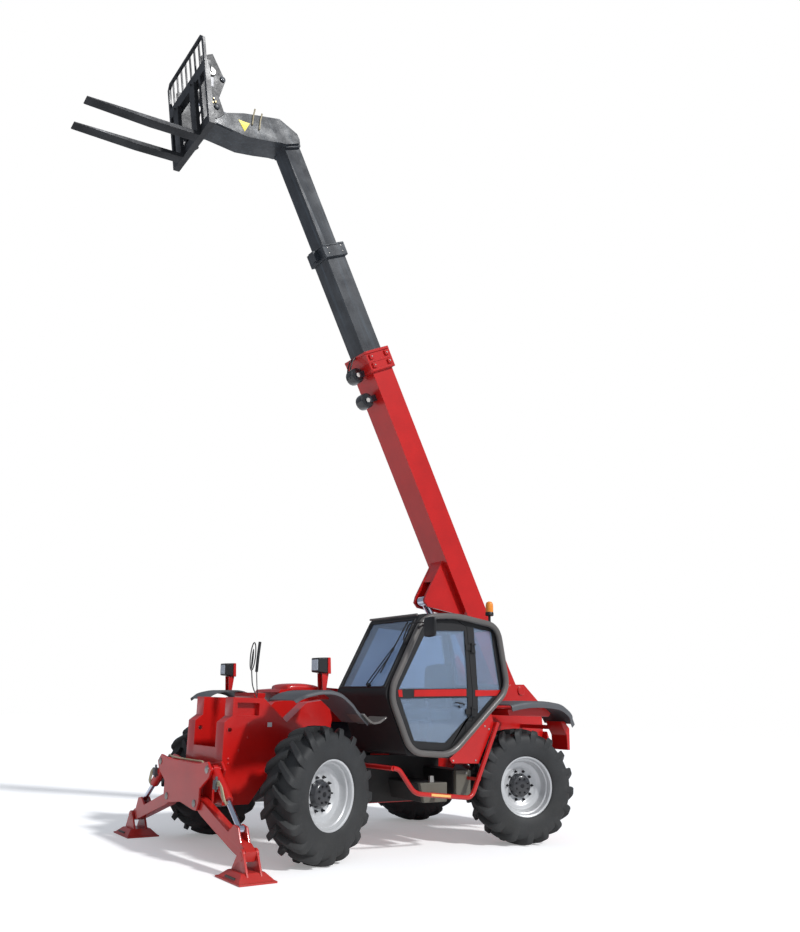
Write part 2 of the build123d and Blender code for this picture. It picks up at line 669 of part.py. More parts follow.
# Stabiliser legs, their cylinders and pads, one set a side
for side, hand in ((1, "left"), (-1, "right")):
    root = Vector(rear_x + leg_plane_x, side * leg_root_y, leg_root_z)
    foot = Vector(rear_x + leg_plane_x, side * knuckle_y, knuckle_z)
    leg_plane = Plane(origin=root, x_dir=foot - root, z_dir=(side, 0, 0))
    leg_length = (foot - root).length
    eye = Vector(rear_x + leg_plane_x, side * leg_eye_y, leg_eye_z)
    ear = Vector(rear_x + leg_plane_x, side * ear_pin_y, ear_pin_z)
    eye_local = leg_plane.to_local_coords(eye)
    with BuildPart() as leg:
        extrude(outline(leg_plane, [
            (-50, -45), (-50, 45), (0, 55), (leg_length - 260, 45), (leg_length - 60, 60), (leg_length + 40, 40),
            (leg_length + 40, -45), (leg_length - 200, -65), (120, -65),
        ]), amount=leg_width / 2, both=True)
        for x in (leg_width / 2 - 20, -leg_width / 2):
            extrude(outline(leg_plane.offset(x), [
                (eye_local.X - 130, 30), (eye_local.X - 45, eye_local.Y + 30), (eye_local.X + 40, eye_local.Y + 40),
                (eye_local.X + 150, 30),
            ]), amount=20)
        pin_bore(leg_plane, pin_radius, leg_width)
        pin(leg_plane * Location((leg_length, 0, 0)), pin_radius, leg_width + 2 * play + 50)
    save(leg.part, "leg_" + hand)

    stay_rest = (eye - ear).length
    stay_closed = length_at(ear, root, eye, (-side, 0, 0), leg_up) - play
    stay_plane = Plane(origin=ear, x_dir=eye - ear, z_dir=(side, 0, 0))
    save(cylinder_barrel(stay_plane, stay_closed, stay_bore, stay_rod_radius, 50, pin_radius), "leg_barrel_" + hand)
    save(cylinder_rod(stay_plane, stay_closed, stay_rest, stay_bore, stay_rod_radius, 50), "leg_rod_" + hand)

    # Pad: a sole plate with two ears on the foot's pin
    with BuildPart() as pad:
        y = (side * (knuckle_y - 0.55 * pad_width), side * (knuckle_y + 0.45 * pad_width))
        block((leg_plane_x - pad_length / 2, leg_plane_x + pad_length / 2), y, (0, 16))
        for x in (leg_plane_x - leg_width / 2 - play - 20, leg_plane_x + leg_width / 2 + play):
            plane = Plane(origin=(rear_x + x, 0, 0), x_dir=(0, 1, 0), z_dir=(1, 0, 0))
            extrude(outline(plane, [
                (side * (knuckle_y - 190), 16), (side * (knuckle_y - 40), knuckle_z + 30), (side * (knuckle_y + 10), knuckle_z + 42),
                (side * (knuckle_y + 45), knuckle_z + 10), (side * (knuckle_y + 150), 16),
            ]), amount=20)
        pin_bore(Plane(origin=foot, z_dir=(1, 0, 0)), pin_radius, 2 * leg_width)
    save(pad.part, "pad_" + hand)

# Door hinges on the pillar
door_hinge_x = 900
door_hinge_y = cab_outer + 12
door_hinge_levels = (1360, 2040)
hinge_pin = 6
hinge_knuckle = 11.7

# Cab: a hollow shell between the boom and the left side, closed by its windows and door
cab_outline = [(1630, 2400), (2080, 1570), (1780, 960), (1210, 930), (340, 1650), (500, 2390), (1160, 2450)]
door_side = [
    (962, 2320), (1160, 2400), (1160, 2500), (2200, 2500), (2200, 800), (985, 800), (985, 1310), (880, 1310), (880, 1640),
]
quarter_outline = [(590, 2295), (860, 2315), (800, 1640), (800, 1390), (460, 1670)]


def window_plane(low, high, depth):
    slope = Vector(high[0] - low[0], 0, high[1] - low[1])
    middle = Vector(rear_x + (low[0] + high[0]) / 2, (cab_inner + cab_outer) / 2, (low[1] + high[1]) / 2)
    plane = Plane(origin=middle, x_dir=(0, 1, 0), z_dir=slope.cross(Vector(0, 1, 0)))
    return plane.offset(-depth), slope.length


def cab_shape(plane, margin=0):
    with BuildSketch(plane) as drawn:
        with BuildLine():
            Polyline(*cab_outline, close=True)
        make_face()
        fillet(drawn.vertices(), radius=cab_corner)
        if margin:
            offset(amount=-margin, kind=Kind.INTERSECTION, mode=Mode.REPLACE)
    return drawn.sketch


def door_shape(margin):
    plane = side_plane(cab_outer)
    return cab_shape(plane, 2 * loop_radius + margin) & outline(plane, door_side, margin)


windows = ((cab_outline[0], cab_outline[1]), (cab_outline[4], cab_outline[5]))
side_window = [(1540, 2310), (1930, 1610), (490, 1690), (590, 2290)]
cab_middle = (cab_inner + cab_outer) / 2
with BuildPart() as cab_shell:
    extrude(cab_shape(side_plane(cab_outer)), amount=cab_outer - cab_inner)
    extrude(cab_shape(side_plane(cab_outer - cab_wall), cab_wall),
            amount=cab_outer - cab_inner - 2 * cab_wall, mode=Mode.SUBTRACT)
    for low, high in windows:
        plane, length = window_plane(low, high, 0)
        with BuildSketch(plane):
            Rectangle(cab_outer - cab_inner - 2 * window_margin, length - 2 * window_margin)
        extrude(amount=2 * cab_wall, both=True, mode=Mode.SUBTRACT)
    extrude(outline(side_plane(cab_inner + cab_wall), side_window), amount=cab_wall, mode=Mode.SUBTRACT)
    extrude(door_shape(0), amount=cab_wall, mode=Mode.SUBTRACT)
    extrude(outline(side_plane(cab_outer), quarter_outline), amount=cab_wall, mode=Mode.SUBTRACT)
    # Flat floor inside and two mounts down to the left side member
    block((1190, 1770), (cab_inner + cab_wall, cab_outer - cab_wall), (floor_z - 40, floor_z))
    for x in (1250, 1650):
        block((x, x + 90), (cab_inner, frame_outer), (sill_top, sill_top + 80))
    for z in door_hinge_levels:
        for low in (z, z + 82):
            block((door_hinge_x - 55, door_hinge_x), (cab_outer, door_hinge_y + 8), (low, low + 18))
            pin(vertical(door_hinge_x, door_hinge_y, low + 9), hinge_knuckle, 18)
        pin(vertical(door_hinge_x, door_hinge_y, z + 50), hinge_pin, 100)
save(cab_shell.part, "cab_shell")

with BuildPart() as cab_loop:
    loop_plane = side_plane(cab_outer + 2 * loop_radius)
    extrude(cab_shape(loop_plane) - cab_shape(loop_plane, 2 * loop_radius), amount=2 * loop_radius)
    chamfer(cab_loop.faces().sort_by(Axis.Y)[-1].edges(), length=loop_chamfer)
save(cab_loop.part, "cab_loop")

with BuildPart() as cab_glass:
    for low, high in windows:
        plane, length = window_plane(low, high, cab_wall / 2)
        with BuildSketch(plane):
            Rectangle(cab_outer - cab_inner - 2 * window_margin - 2 * seat_gap, length - 2 * window_margin - 2 * seat_gap)
        extrude(amount=glass_thick)
    extrude(outline(side_plane(cab_inner + 18), side_window, seat_gap), amount=glass_thick)
    extrude(outline(side_plane(cab_outer - 10), quarter_outline, seat_gap), amount=glass_thick)
save(cab_glass.part, "cab_glass")

# Door: one leaf with an upper and a lower window, hinged on the pillar behind it
door_upper = [(1000, 2270), (1540, 2230), (1900, 1610), (950, 1655)]
door_lower = [(950, 1560), (1880, 1520), (1690, 1105), (1270, 1085), (950, 1350)]
with BuildPart() as door_frame:
    extrude(door_shape(door_gap), amount=cab_wall)
    for points in (door_upper, door_lower):
        extrude(outline(side_plane(cab_outer), points), amount=cab_wall, mode=Mode.SUBTRACT)
    for z in door_hinge_levels:
        block((door_hinge_x, door_hinge_x + 85), (cab_outer, cab_outer + 8), (z + 20, z + 80))
        pin(vertical(door_hinge_x, door_hinge_y, z + 50), hinge_knuckle, 60)
        pin_bore(vertical(door_hinge_x, door_hinge_y, z + 50), hinge_pin, 60)
save(door_frame.part, "door_frame")
with BuildPart() as door_glass:
    for points in (door_upper, door_lower):
        extrude(outline(side_plane(cab_outer - 10), points, seat_gap), amount=glass_thick)
save(door_glass.part, "door_glass")

# Seat and controls on the cab floor
with BuildPart() as seat:
    block((960, 1400), (cab_middle - 210, cab_middle + 210), (floor_z + 300, floor_z + 430))
    block((930, 1050), (cab_middle - 210, cab_middle + 210), (floor_z + 430, floor_z + 930))
save(seat.part, "seat")
with BuildPart() as console:
    block((1250, 1400), (cab_middle - 150, cab_middle + 150), (floor_z, floor_z + 300))
    block((1620, 1740), (cab_middle - 200, cab_middle + 200), (floor_z, floor_z + 480))
    column = Plane(origin=(rear_x + 1660, cab_middle, floor_z + 440), z_dir=(-0.5, 0, 0.866))
    with BuildSketch(column.offset(-20)):
        RegularPolygon(24, 8)
    extrude(amount=155)
    with BuildSketch(column.offset(130)):
        RegularPolygon(195, 12)
        RegularPolygon(168, 12, mode=Mode.SUBTRACT)
        Rectangle(350, 36)
    extrude(amount=22)
save(console.part, "console")

guard_outer = 1215
guard_thick = 22
guard_lip = 16
guard_lip_depth = 60
guard_crown = 1576
lamp_x = wheelbase - 80
lamp_z = 1740

# Engine beside the right side member, under its hood
hood_inner = tower_outer + play
hood_outer = tower_outer + 580
hood_wall = 20
step_tube = 25
hood_hinge_y = -hood_inner + 14
hood_hinge_z = 1605
hood_hinge_places = (960, 1700)
with BuildPart() as engine:
    block((930, 1850), (-920, -470), (740, 1235))
save(engine.part, "engine")
with BuildPart() as engine_bay:
    block((790, 2030), (-tower_outer - 560, -tower_outer), (560, 600))
    block((790, 815), (-tower_outer - 560, -tower_outer), (600, 1240))
    block((2005, 2030), (-tower_outer - 560, -tower_outer), (600, 1240))
    block((1000, 1780), (-900, -490), (600, 739.7))
    block((815, 2005), (-tower_outer - 20, -tower_outer), (600, 1240))
    for x in hood_hinge_places:
        block((x, x + 20), (-tower_outer - 1, -tower_outer + 20), (1100, hood_hinge_z))
        pin(lengthwise(x + 10, hood_hinge_y, hood_hinge_z), 9, 20)
        pin(lengthwise(x + 50, hood_hinge_y, hood_hinge_z), hinge_pin, 60)
save(engine_bay.part, "engine_bay")
hood_outline = [
    (800, 640), (2020, 640), (2020, 1250), (2110, 1300), (2400, 1560), (2380, 1590), (1900, 1640), (620, 1600),
    (440, 1560), (440, 1480), (800, 1250),
]
with BuildPart() as engine_hood:
    extrude(outline(side_plane(-hood_inner), hood_outline), amount=hood_outer - hood_inner)
    extrude(outline(side_plane(-hood_inner - hood_wall), hood_outline, hood_wall),
            amount=hood_outer - hood_inner - 2 * hood_wall, mode=Mode.SUBTRACT)
    block((700, 2100), (-hood_inner, -hood_outer + hood_wall), (600, 1250), Mode.SUBTRACT)
    for x in hood_hinge_places:
        pin(lengthwise(x + 51, hood_hinge_y, hood_hinge_z), 15, 60)
        pin_bore(lengthwise(x + 51, hood_hinge_y, hood_hinge_z), hinge_pin, 60)
save(engine_hood.part, "engine_hood")

# Wheel guards: a curved sheet over each wheel with a lip down its outer edge
front_guard = [(wheelbase + 300, 1500), (wheelbase + 80, 1562), (wheelbase - 180, 1565), (wheelbase - 420, 1470),
               (wheelbase - 640, 1275)]
rear_guard = [(330, 1480), (120, 1540), (-200, 1556), (-480, 1530), (-650, 1430), (-745, 1310)]


def guard_band(y, points, width, depth):
    lower = [(x, z - depth) for x, z in points]
    with BuildSketch(side_plane(y)) as drawn:
        with BuildLine():
            Spline(*points)
            Line(points[-1], lower[-1])
            Spline(*reversed(lower))
            Line(lower[0], points[0])
        make_face()
    extrude(drawn.sketch, amount=width)


with BuildPart() as fenders:
    for side in (1, -1):
        for points in (front_guard, rear_guard):
            guard_band(guard_outer if side > 0 else -tower_outer, points, guard_outer - tower_outer, guard_thick)
            guard_band(guard_outer if side > 0 else guard_lip - guard_outer, points, guard_lip, guard_lip_depth)
        block((-420, -300), (side * frame_outer, side * (tower_outer + 40)), (1440, 1525))
save(fenders.part, "fenders")

# Side step, work lamps, mirrors, beacon and service boxes
with BuildPart() as side_step:
    with BuildSketch(side_plane(1175)) as step_side:
        with BuildLine():
            FilletPolyline((2000, 845), (1700, 600), (950, 530), (880, 560), (530, 1300), radius=45)
            offset(amount=step_tube, side=Side.BOTH, kind=Kind.INTERSECTION)
        make_face()
    extrude(step_side.sketch, amount=2 * step_tube)
    block((1280, 1330), (980, 1130), (545, 575))
    block((790, 830), (980, 1130), (700, 730))
    # Panel between the step's riser and the cab's sloping sill
    extrude(outline(side_plane(1125), [(1210, 928), (1180, 880), (790, 870), (540, 1300), (600, 1433)]), amount=20)
save(side_step.part, "side_step")
with BuildPart() as service_boxes:
    block((1110, 1490), (tower_outer, 980), (480, 680))
    block((770, 990), (tower_outer, 980), (520, 800))
save(service_boxes.part, "service_boxes")
with BuildPart() as lamps:
    for side in (1, -1):
        block((lamp_x, lamp_x + 40), (side * 1020, side * 980), (guard_crown, lamp_z))
        block((lamp_x - 10, lamp_x + 70), (side * 1075, side * 925), (lamp_z, lamp_z + 160))
save(lamps.part, "lamps")
with BuildPart() as beacon:
    block((510, 600), (1015, 1105), (2399.4, 2408))
    with Locations((rear_x + 555, 1060, 2400)):
        Cylinder(14, 80, align=(Align.CENTER, Align.CENTER, Align.MIN))
    with Locations((rear_x + 555, 1060, 2476)):
        Cylinder(47, 167, align=(Align.CENTER, Align.CENTER, Align.MIN))
save(beacon.part, "beacon")
with BuildPart() as mirrors:
    loop_face = cab_outer + 2 * loop_radius + seat_gap
    block((1640, 1740), (loop_face, loop_face + 14), (2250, 2275))
    block((1722, 1740), (loop_face, 1330), (2250, 2275))
    extrude(outline(lengthwise(1712, 1400, 2235), [
        (-90, -75), (-60, -105), (60, -105), (90, -60), (90, 90), (70, 105), (-80, 105), (-90, 95),
    ]), amount=40)
    block((3060, 3085), (240, 380), (1700, 2050))
    block((3065, 3080), (300, 320), (1480, 1710))
save(mirrors.part, "mirrors")
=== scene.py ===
import json
import math

import bmesh
import bpy
import numpy as np
from mathutils import Matrix, Vector

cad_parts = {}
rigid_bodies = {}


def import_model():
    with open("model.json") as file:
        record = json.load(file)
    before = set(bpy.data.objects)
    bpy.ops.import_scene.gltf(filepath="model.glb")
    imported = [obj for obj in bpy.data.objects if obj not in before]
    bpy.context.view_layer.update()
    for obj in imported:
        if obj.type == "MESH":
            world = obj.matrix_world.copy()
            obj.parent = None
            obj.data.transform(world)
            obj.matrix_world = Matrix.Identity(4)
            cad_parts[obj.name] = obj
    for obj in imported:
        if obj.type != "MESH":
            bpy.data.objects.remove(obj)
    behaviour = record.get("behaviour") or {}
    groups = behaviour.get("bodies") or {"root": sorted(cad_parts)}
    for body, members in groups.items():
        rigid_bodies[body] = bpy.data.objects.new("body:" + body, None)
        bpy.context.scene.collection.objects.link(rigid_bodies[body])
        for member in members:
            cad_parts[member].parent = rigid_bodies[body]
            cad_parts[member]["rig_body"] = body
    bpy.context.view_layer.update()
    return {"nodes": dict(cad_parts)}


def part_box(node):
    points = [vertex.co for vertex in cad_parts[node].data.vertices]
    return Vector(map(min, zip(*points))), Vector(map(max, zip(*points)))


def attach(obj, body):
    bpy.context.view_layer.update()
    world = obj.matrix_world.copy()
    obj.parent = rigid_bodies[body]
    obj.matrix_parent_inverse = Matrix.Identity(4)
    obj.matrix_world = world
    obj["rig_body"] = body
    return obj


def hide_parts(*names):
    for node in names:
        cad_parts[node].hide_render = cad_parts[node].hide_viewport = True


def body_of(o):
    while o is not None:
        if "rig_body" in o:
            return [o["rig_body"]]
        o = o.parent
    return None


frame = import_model()
print("frame loaded:", len(frame["nodes"]), "nodes")

# Side outlines are measured as on the machine: x forward from the rear axle, z up from the ground
rearLow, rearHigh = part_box("rear_axle")
rearX = (rearLow.x + rearHigh.x) / 2


def onMachine(points):
    return np.asarray(points, float) + np.array([rearX, 0.0, 0.0])


# Merging distances in metres, and angles in degrees
surface = {"merge": 1e-5, "mergeNode": 2e-5, "flat": 1.5, "smooth": 35, "bevelFrom": 30}


# A shape is a pair: an array of points and a list of faces that index it. A grid of points becomes quads between
# neighbouring lines, and a closed direction joins its last line to its first
def gridShape(grid, closedAlong=False, closedAcross=True, caps=True):
    lines, width = grid.shape[:2]
    index = np.arange(lines * width).reshape(lines, width)
    if closedAlong:
        index = np.vstack([index, index[:1]])
    if closedAcross:
        index = np.hstack([index, index[:, :1]])
    quads = np.stack([index[:-1, :-1], index[:-1, 1:], index[1:, 1:], index[1:, :-1]], axis=-1).reshape(-1, 4)
    faces = quads.tolist()
    if caps and closedAcross and not closedAlong:
        faces.append(list(range(width)))
        faces.append(list(range(lines * width - 1, (lines - 1) * width - 1, -1)))
    return grid.reshape(-1, 3), faces


def joined(*shapes):
    points, faces, start = [], [], 0
    for shapePoints, shapeFaces in shapes:
        points.append(shapePoints)
        faces += [[corner + start for corner in face] for face in shapeFaces]
        start += len(shapePoints)
    return np.vstack(points), faces


def mirrored(shape):
    return shape[0] * np.array([1.0, -1.0, 1.0]), shape[1]


def bothSides(*shapes):
    return joined(*shapes, *[mirrored(shape) for shape in shapes])


def moved(shape, matrix):
    turn = np.array(matrix.to_3x3())
    shift = np.array(matrix.translation)
    return shape[0] @ turn.T + shift, shape[1]


# Right-handed axes whose third one is the given direction
def axesAlong(direction, side=(0, 0, 1)):
    third = Vector(direction).normalized()
    first = Vector(side).cross(third)
    if first.length < 1e-4:
        first = Vector((1, 0, 0)).cross(third)
    first.normalize()
    return first, third.cross(first), third


def standing(origin, direction, side=(0, 0, 1)):
    first, second, third = axesAlong(direction, side)
    matrix = Matrix((first, second, third)).transposed().to_4x4()
    matrix.translation = Vector(origin)
    return matrix


# A profile of (radius, height) pairs turned about an axis: point(t, a) = origin + height·axis + radius·(cos a, sin a)
def turned(profile, origin=(0, 0, 0), axis=(0, 0, 1), count=48, hollow=False):
    profile = np.asarray(profile, float)
    angle = np.linspace(0, 2 * math.pi, count, endpoint=False)
    ring = np.stack([np.cos(angle), np.sin(angle), np.zeros(count)], axis=-1)
    grid = profile[:, None, :1] * ring[None]
    grid[:, :, 2] = profile[:, 1:2]
    return moved(gridShape(grid, closedAlong=hollow), standing(origin, axis))


# Bolt and pin heads, short drums with a cut edge: radius, height of the edge, width and height of the cut, sides
heads = {
    "bolt": (0.010, 0.006, 0.003, 0.002, 16), "lock": (0.012, 0.006, 0.003, 0.002, 24),
    "catch": (0.013, 0.006, 0.004, 0.003, 20), "wiper": (0.022, 0.022, 0.006, 0.006, 24),
    "mirror": (0.018, 0.010, 0.004, 0.004, 20), "collarBolt": (0.010, 0.007, 0.0025, 0.002, 6),
    "middleBolt": (0.009, 0.006, 0.00225, 0.002, 6), "carriageBolt": (0.013, 0.010, 0.004, 0.004, 6),
    "carriagePin": (0.032, 0.012, 0.006, 0.004, 32), "headPin": (0.052, 0.010, 0.008, 0.004, 40),
    "earPin": (0.034, 0.006, 0.006, 0.004, 28), "liftPin": (0.050, 0.010, 0.006, 0.004, 32),
    "boomPin": (0.060, 0.010, 0.008, 0.006, 40),
}


def pinHead(kind, place, direction=(0, 1, 0), low=0.0):
    radius, proud, cut, rise, count = heads[kind]
    return turned([(radius, low), (radius, proud), (radius - cut, proud + rise)], place, direction, count)


# A flat outline given a thickness: point(t, s) = outline(t) + s·normal
def slab(outline, origin, across, up, thickness):
    across, up = Vector(across).normalized(), Vector(up).normalized()
    normal = across.cross(up)
    flat = np.asarray(outline, float)
    base = np.array(origin) + flat[:, :1] * np.array(across) + flat[:, 1:] * np.array(up)
    grid = np.stack([base - np.array(normal) * thickness / 2, base + np.array(normal) * thickness / 2])
    return gridShape(grid[:, ::-1])


def brick(low, high):
    low, high = np.minimum(low, high), np.maximum(low, high)
    size = high - low
    middle = (low + high) / 2
    corners = np.array([(-1, -1), (1, -1), (1, 1), (-1, 1)]) * size[:2] / 2
    return slab(corners, middle, (1, 0, 0), (0, 1, 0), size[2])


# Corners of a path rounded by arcs of the given radius: each arc is a quadratic curve between its tangent points
def roundedPath(points, radius, steps=8, closed=False):
    points = np.asarray(points, float)
    count = len(points)
    t = np.linspace(0, 1, steps)[:, None]
    pieces = []
    for k in range(count):
        if not closed and k in (0, count - 1):
            pieces.append(points[k:k + 1])
            continue
        before, corner, after = points[k - 1], points[k], points[(k + 1) % count]
        inward, onward = before - corner, after - corner
        reach = min(radius, 0.45 * np.linalg.norm(inward), 0.45 * np.linalg.norm(onward))
        start = corner + inward / np.linalg.norm(inward) * reach
        end = corner + onward / np.linalg.norm(onward) * reach
        pieces.append((1 - t) ** 2 * start + 2 * t * (1 - t) * corner + t**2 * end)
    return np.vstack(pieces)


# A closed profile carried along a path: point(u, v) = path(u) + a(v)·side + b(v)·(side x tangent)
def carried(profile, path, side=(0, 1, 0), closed=False):
    profile, path = np.asarray(profile, float), np.asarray(path, float)
    if closed:
        tangent = np.roll(path, -1, axis=0) - np.roll(path, 1, axis=0)
    else:
        tangent = np.gradient(path, axis=0)
    tangent /= np.linalg.norm(tangent, axis=1)[:, None]
    side = np.asarray(side, float)[None] - tangent * (tangent @ np.asarray(side, float))[:, None]
    side /= np.linalg.norm(side, axis=1)[:, None]
    other = np.cross(side, tangent)
    grid = path[:, None] + profile[None, :, :1] * side[:, None] + profile[None, :, 1:] * other[:, None]
    return gridShape(grid, closedAlong=closed)


# Side views: an outline at one distance from the middle, and the same with a thickness
def atY(points, y):
    points = np.asarray(points, float)
    return np.stack([points[:, 0], np.full(len(points), float(y)), points[:, 1]], axis=1)


def sideSlab(points, y, thickness):
    return slab(points, (0, y, 0), (1, 0, 0), (0, 0, 1), thickness)


def circle(radius, count=16):
    angle = np.linspace(0, 2 * math.pi, count, endpoint=False)
    return np.stack([radius * np.cos(angle), radius * np.sin(angle)], axis=-1)


def pipe(points, radius, bend=0.05, side=(0, 1, 0), count=16, closed=False):
    return carried(circle(radius, count), roundedPath(points, bend, closed=closed), side, closed)


# Makes the object from a shape in machine metres, at the origin and unturned, riding on its body
def addPiece(name, shape, body, finish, bevel=0.0, segments=2, stands=(), smooth=surface["smooth"]):
    mesh = bpy.data.meshes.new(name)
    mesh.from_pydata(onMachine(shape[0]).tolist(), [], shape[1])
    work = bmesh.new()
    work.from_mesh(mesh)
    bmesh.ops.remove_doubles(work, verts=work.verts, dist=surface["merge"])
    bmesh.ops.recalc_face_normals(work, faces=work.faces)
    work.to_mesh(mesh)
    work.free()
    mesh.shade_smooth()
    mesh.set_sharp_from_angle(angle=math.radians(smooth))
    mesh.materials.append(paints[finish])
    piece = bpy.data.objects.new(name, mesh)
    bpy.context.scene.collection.objects.link(piece)
    if bevel:
        softenEdges(piece, bevel, segments)
    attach(piece, body)
    if stands:
        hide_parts(*stands)
    return piece


def softenEdges(piece, width, segments=2):
    bevel = piece.modifiers.new("softEdges", "BEVEL")
    bevel.width = width
    bevel.segments = segments
    bevel.limit_method = "ANGLE"
    bevel.angle_limit = math.radians(surface["bevelFrom"])
    bevel.harden_normals = True


# A copy of a CAD node, merged and with its edges softened, that stands for it
def softened(node, finish, width):
    mesh = frame["nodes"][node].data.copy()
    work = bmesh.new()
    work.from_mesh(mesh)
    bmesh.ops.remove_doubles(work, verts=work.verts, dist=surface["mergeNode"])
    bmesh.ops.dissolve_limit(work, angle_limit=math.radians(surface["flat"]), verts=work.verts, edges=work.edges)
    work.to_mesh(mesh)
    work.free()
    mesh.materials.clear()
    mesh.materials.append(paints[finish])
    mesh.shade_smooth()
    mesh.set_sharp_from_angle(angle=math.radians(surface["smooth"]))
    piece = bpy.data.objects.new(node + "_soft", mesh)
    bpy.context.scene.collection.objects.link(piece)
    softenEdges(piece, width)
    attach(piece, body_of(frame["nodes"][node])[0])
    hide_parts(node)


# Shader node groups shared by the materials. A plan gives each node's kind, settings and values, and a wire is
# written "node.socket > node.socket", where a number stands for a socket's place
objectPlace = ("TexCoord", {}, {})
product = ("Math", {"operation": "MULTIPLY"}, {})
colourMix = ("Mix", {"data_type": "RGBA"}, {})
colourAndMask = {"Color": "NodeSocketColor", "Mask": "NodeSocketFloat"}


def noise(detail, **more):
    return "TexNoise", {}, {"Detail": detail, **more}


def between(low, high, **more):
    return "MapRange", {}, {"From Min": low, "From Max": high, **more}


def socketOf(sockets, label):
    return sockets[int(label) if label.isdigit() else label]


def makeGroup(name, inputs, outputs, plan, wires):
    group = bpy.data.node_groups.new(name, "ShaderNodeTree")
    kinds = {1: "NodeSocketFloat", 3: "NodeSocketVector", 4: "NodeSocketColor"}
    for label, value in inputs.items():
        socket = group.interface.new_socket(label, in_out="INPUT", socket_type=kinds[np.size(value)])
        socket.default_value = value
    for label, kind in outputs.items():
        group.interface.new_socket(label, in_out="OUTPUT", socket_type=kind)
    made = {"given": group.nodes.new("NodeGroupInput"), "out": group.nodes.new("NodeGroupOutput")}
    for label, (kind, settings, values) in plan.items():
        made[label] = group.nodes.new("ShaderNode" + kind)
        for setting, value in settings.items():
            setattr(made[label], setting, value)
        for socket, value in values.items():
            made[label].inputs[socket].default_value = value
    for wire in wires:
        (source, leaves), (target, enters) = (end.split(".") for end in wire.split(" > "))
        group.links.new(socketOf(made[source].outputs, leaves), socketOf(made[target].inputs, enters))
    return group


# Two tones of one colour in soft blotches, with a second finer scale on top
toneGroup = makeGroup(
    "blotchedTone",
    {"Light": (0.5, 0.5, 0.5, 1), "Dark": (0.3, 0.3, 0.3, 1), "Scale": 3.0, "Fine Scale": 60.0}, colourAndMask,
    {"place": objectPlace, "broad": noise(4), "fine": noise(3),
     "blend": ("Math", {"operation": "MULTIPLY_ADD"}, {1: 0.4}),
     "shape": between(0.5, 0.95), "mix": colourMix},
    ["place.Object > broad.Vector", "place.Object > fine.Vector", "given.Scale > broad.Scale",
     "given.Fine Scale > fine.Scale", "fine.Fac > blend.0", "broad.Fac > blend.2", "blend.0 > shape.Value",
     "shape.Result > mix.Factor", "given.Light > mix.A", "given.Dark > mix.B", "mix.Result > out.Color",
     "shape.Result > out.Mask"])

# Dust that settles low down in patches; the mask is also used for roughness
dustGroup = makeGroup(
    "settledDust",
    {"Color": (0.5, 0.5, 0.5, 1), "Dust": (0.25, 0.21, 0.16, 1), "Top Height": 1.2, "Amount": 0.4}, colourAndMask,
    {"place": objectPlace, "split": ("SeparateXYZ", {}, {}),
     "height": between(0.0, 1.0, **{"To Min": 1.0, "To Max": 0.0}),
     "patches": noise(6, Scale=7), "speck": product,
     "amount": ("Math", {"operation": "MULTIPLY", "use_clamp": True}, {}), "mix": colourMix},
    ["place.Object > split.Vector", "place.Object > patches.Vector", "split.Z > height.Value",
     "given.Top Height > height.From Max", "height.Result > speck.0", "patches.Fac > speck.1", "speck.0 > amount.0",
     "given.Amount > amount.1", "amount.0 > mix.Factor", "given.Color > mix.A", "given.Dust > mix.B",
     "mix.Result > out.Color", "amount.0 > out.Mask"])

# Worn edges: where the rounded normal departs from the true one, broken up by noise
wearGroup = makeGroup(
    "wornEdges",
    {"Color": (0.5, 0.5, 0.5, 1), "Bare": (0.3, 0.3, 0.3, 1), "Width": 0.004, "Amount": 0.5}, colourAndMask,
    {"place": objectPlace, "rounded": ("Bevel", {"samples": 4}, {}), "true": ("NewGeometry", {}, {}),
     "compare": ("VectorMath", {"operation": "DOT_PRODUCT"}, {}), "edge": between(0.995, 0.90),
     "chips": noise(5, Scale=45), "chipped": between(0.45, 0.65), "both": product, "amount": product, "mix": colourMix},
    ["given.Width > rounded.Radius", "rounded.Normal > compare.0", "true.True Normal > compare.1",
     "compare.Value > edge.Value", "place.Object > chips.Vector", "chips.Fac > chipped.Value", "edge.Result > both.0",
     "chipped.Result > both.1", "both.0 > amount.0", "given.Amount > amount.1", "amount.0 > mix.Factor",
     "given.Color > mix.A", "given.Bare > mix.B", "mix.Result > out.Color", "amount.0 > out.Mask"])

# A height made of two noises, for orange peel, casting skin and moulded grain
grainGroup = makeGroup(
    "surfaceGrain",
    {"Scale": 200.0, "Wave Scale": 6.0, "Wave Share": 0.3}, {"Height": "NodeSocketFloat"},
    {"place": objectPlace, "grain": noise(3), "wave": noise(1), "mix": ("Mix", {"data_type": "FLOAT"}, {})},
    ["place.Object > grain.Vector", "place.Object > wave.Vector", "given.Scale > grain.Scale",
     "given.Wave Scale > wave.Scale", "given.Wave Share > mix.Factor", "grain.Fac > mix.A", "wave.Fac > mix.B",
     "mix.Result > out.Height"])

# Long rub marks along the boom: noise in coordinates turned to the boom and stretched along it
scuffGroup = makeGroup(
    "boomScuffs",
    {"Color": (0.5, 0.5, 0.5, 1), "Scuff": (0.2, 0.2, 0.2, 1), "Amount": 0.5, "Turn": (0, math.radians(61), 0),
     "Stretch": (0.9, 26, 26)}, colourAndMask,
    {"place": objectPlace, "turn": ("Mapping", {}, {}), "stretch": ("Mapping", {}, {}),
     "marks": noise(6, Scale=1.0, Roughness=0.65), "shape": between(0.52, 0.72), "amount": product, "mix": colourMix},
    ["place.Object > turn.Vector", "given.Turn > turn.Rotation", "turn.Vector > stretch.Vector",
     "given.Stretch > stretch.Scale", "stretch.Vector > marks.Vector", "marks.Fac > shape.Value",
     "shape.Result > amount.0", "given.Amount > amount.1", "amount.0 > mix.Factor", "given.Color > mix.A",
     "given.Scuff > mix.B", "mix.Result > out.Color", "amount.0 > out.Mask"])


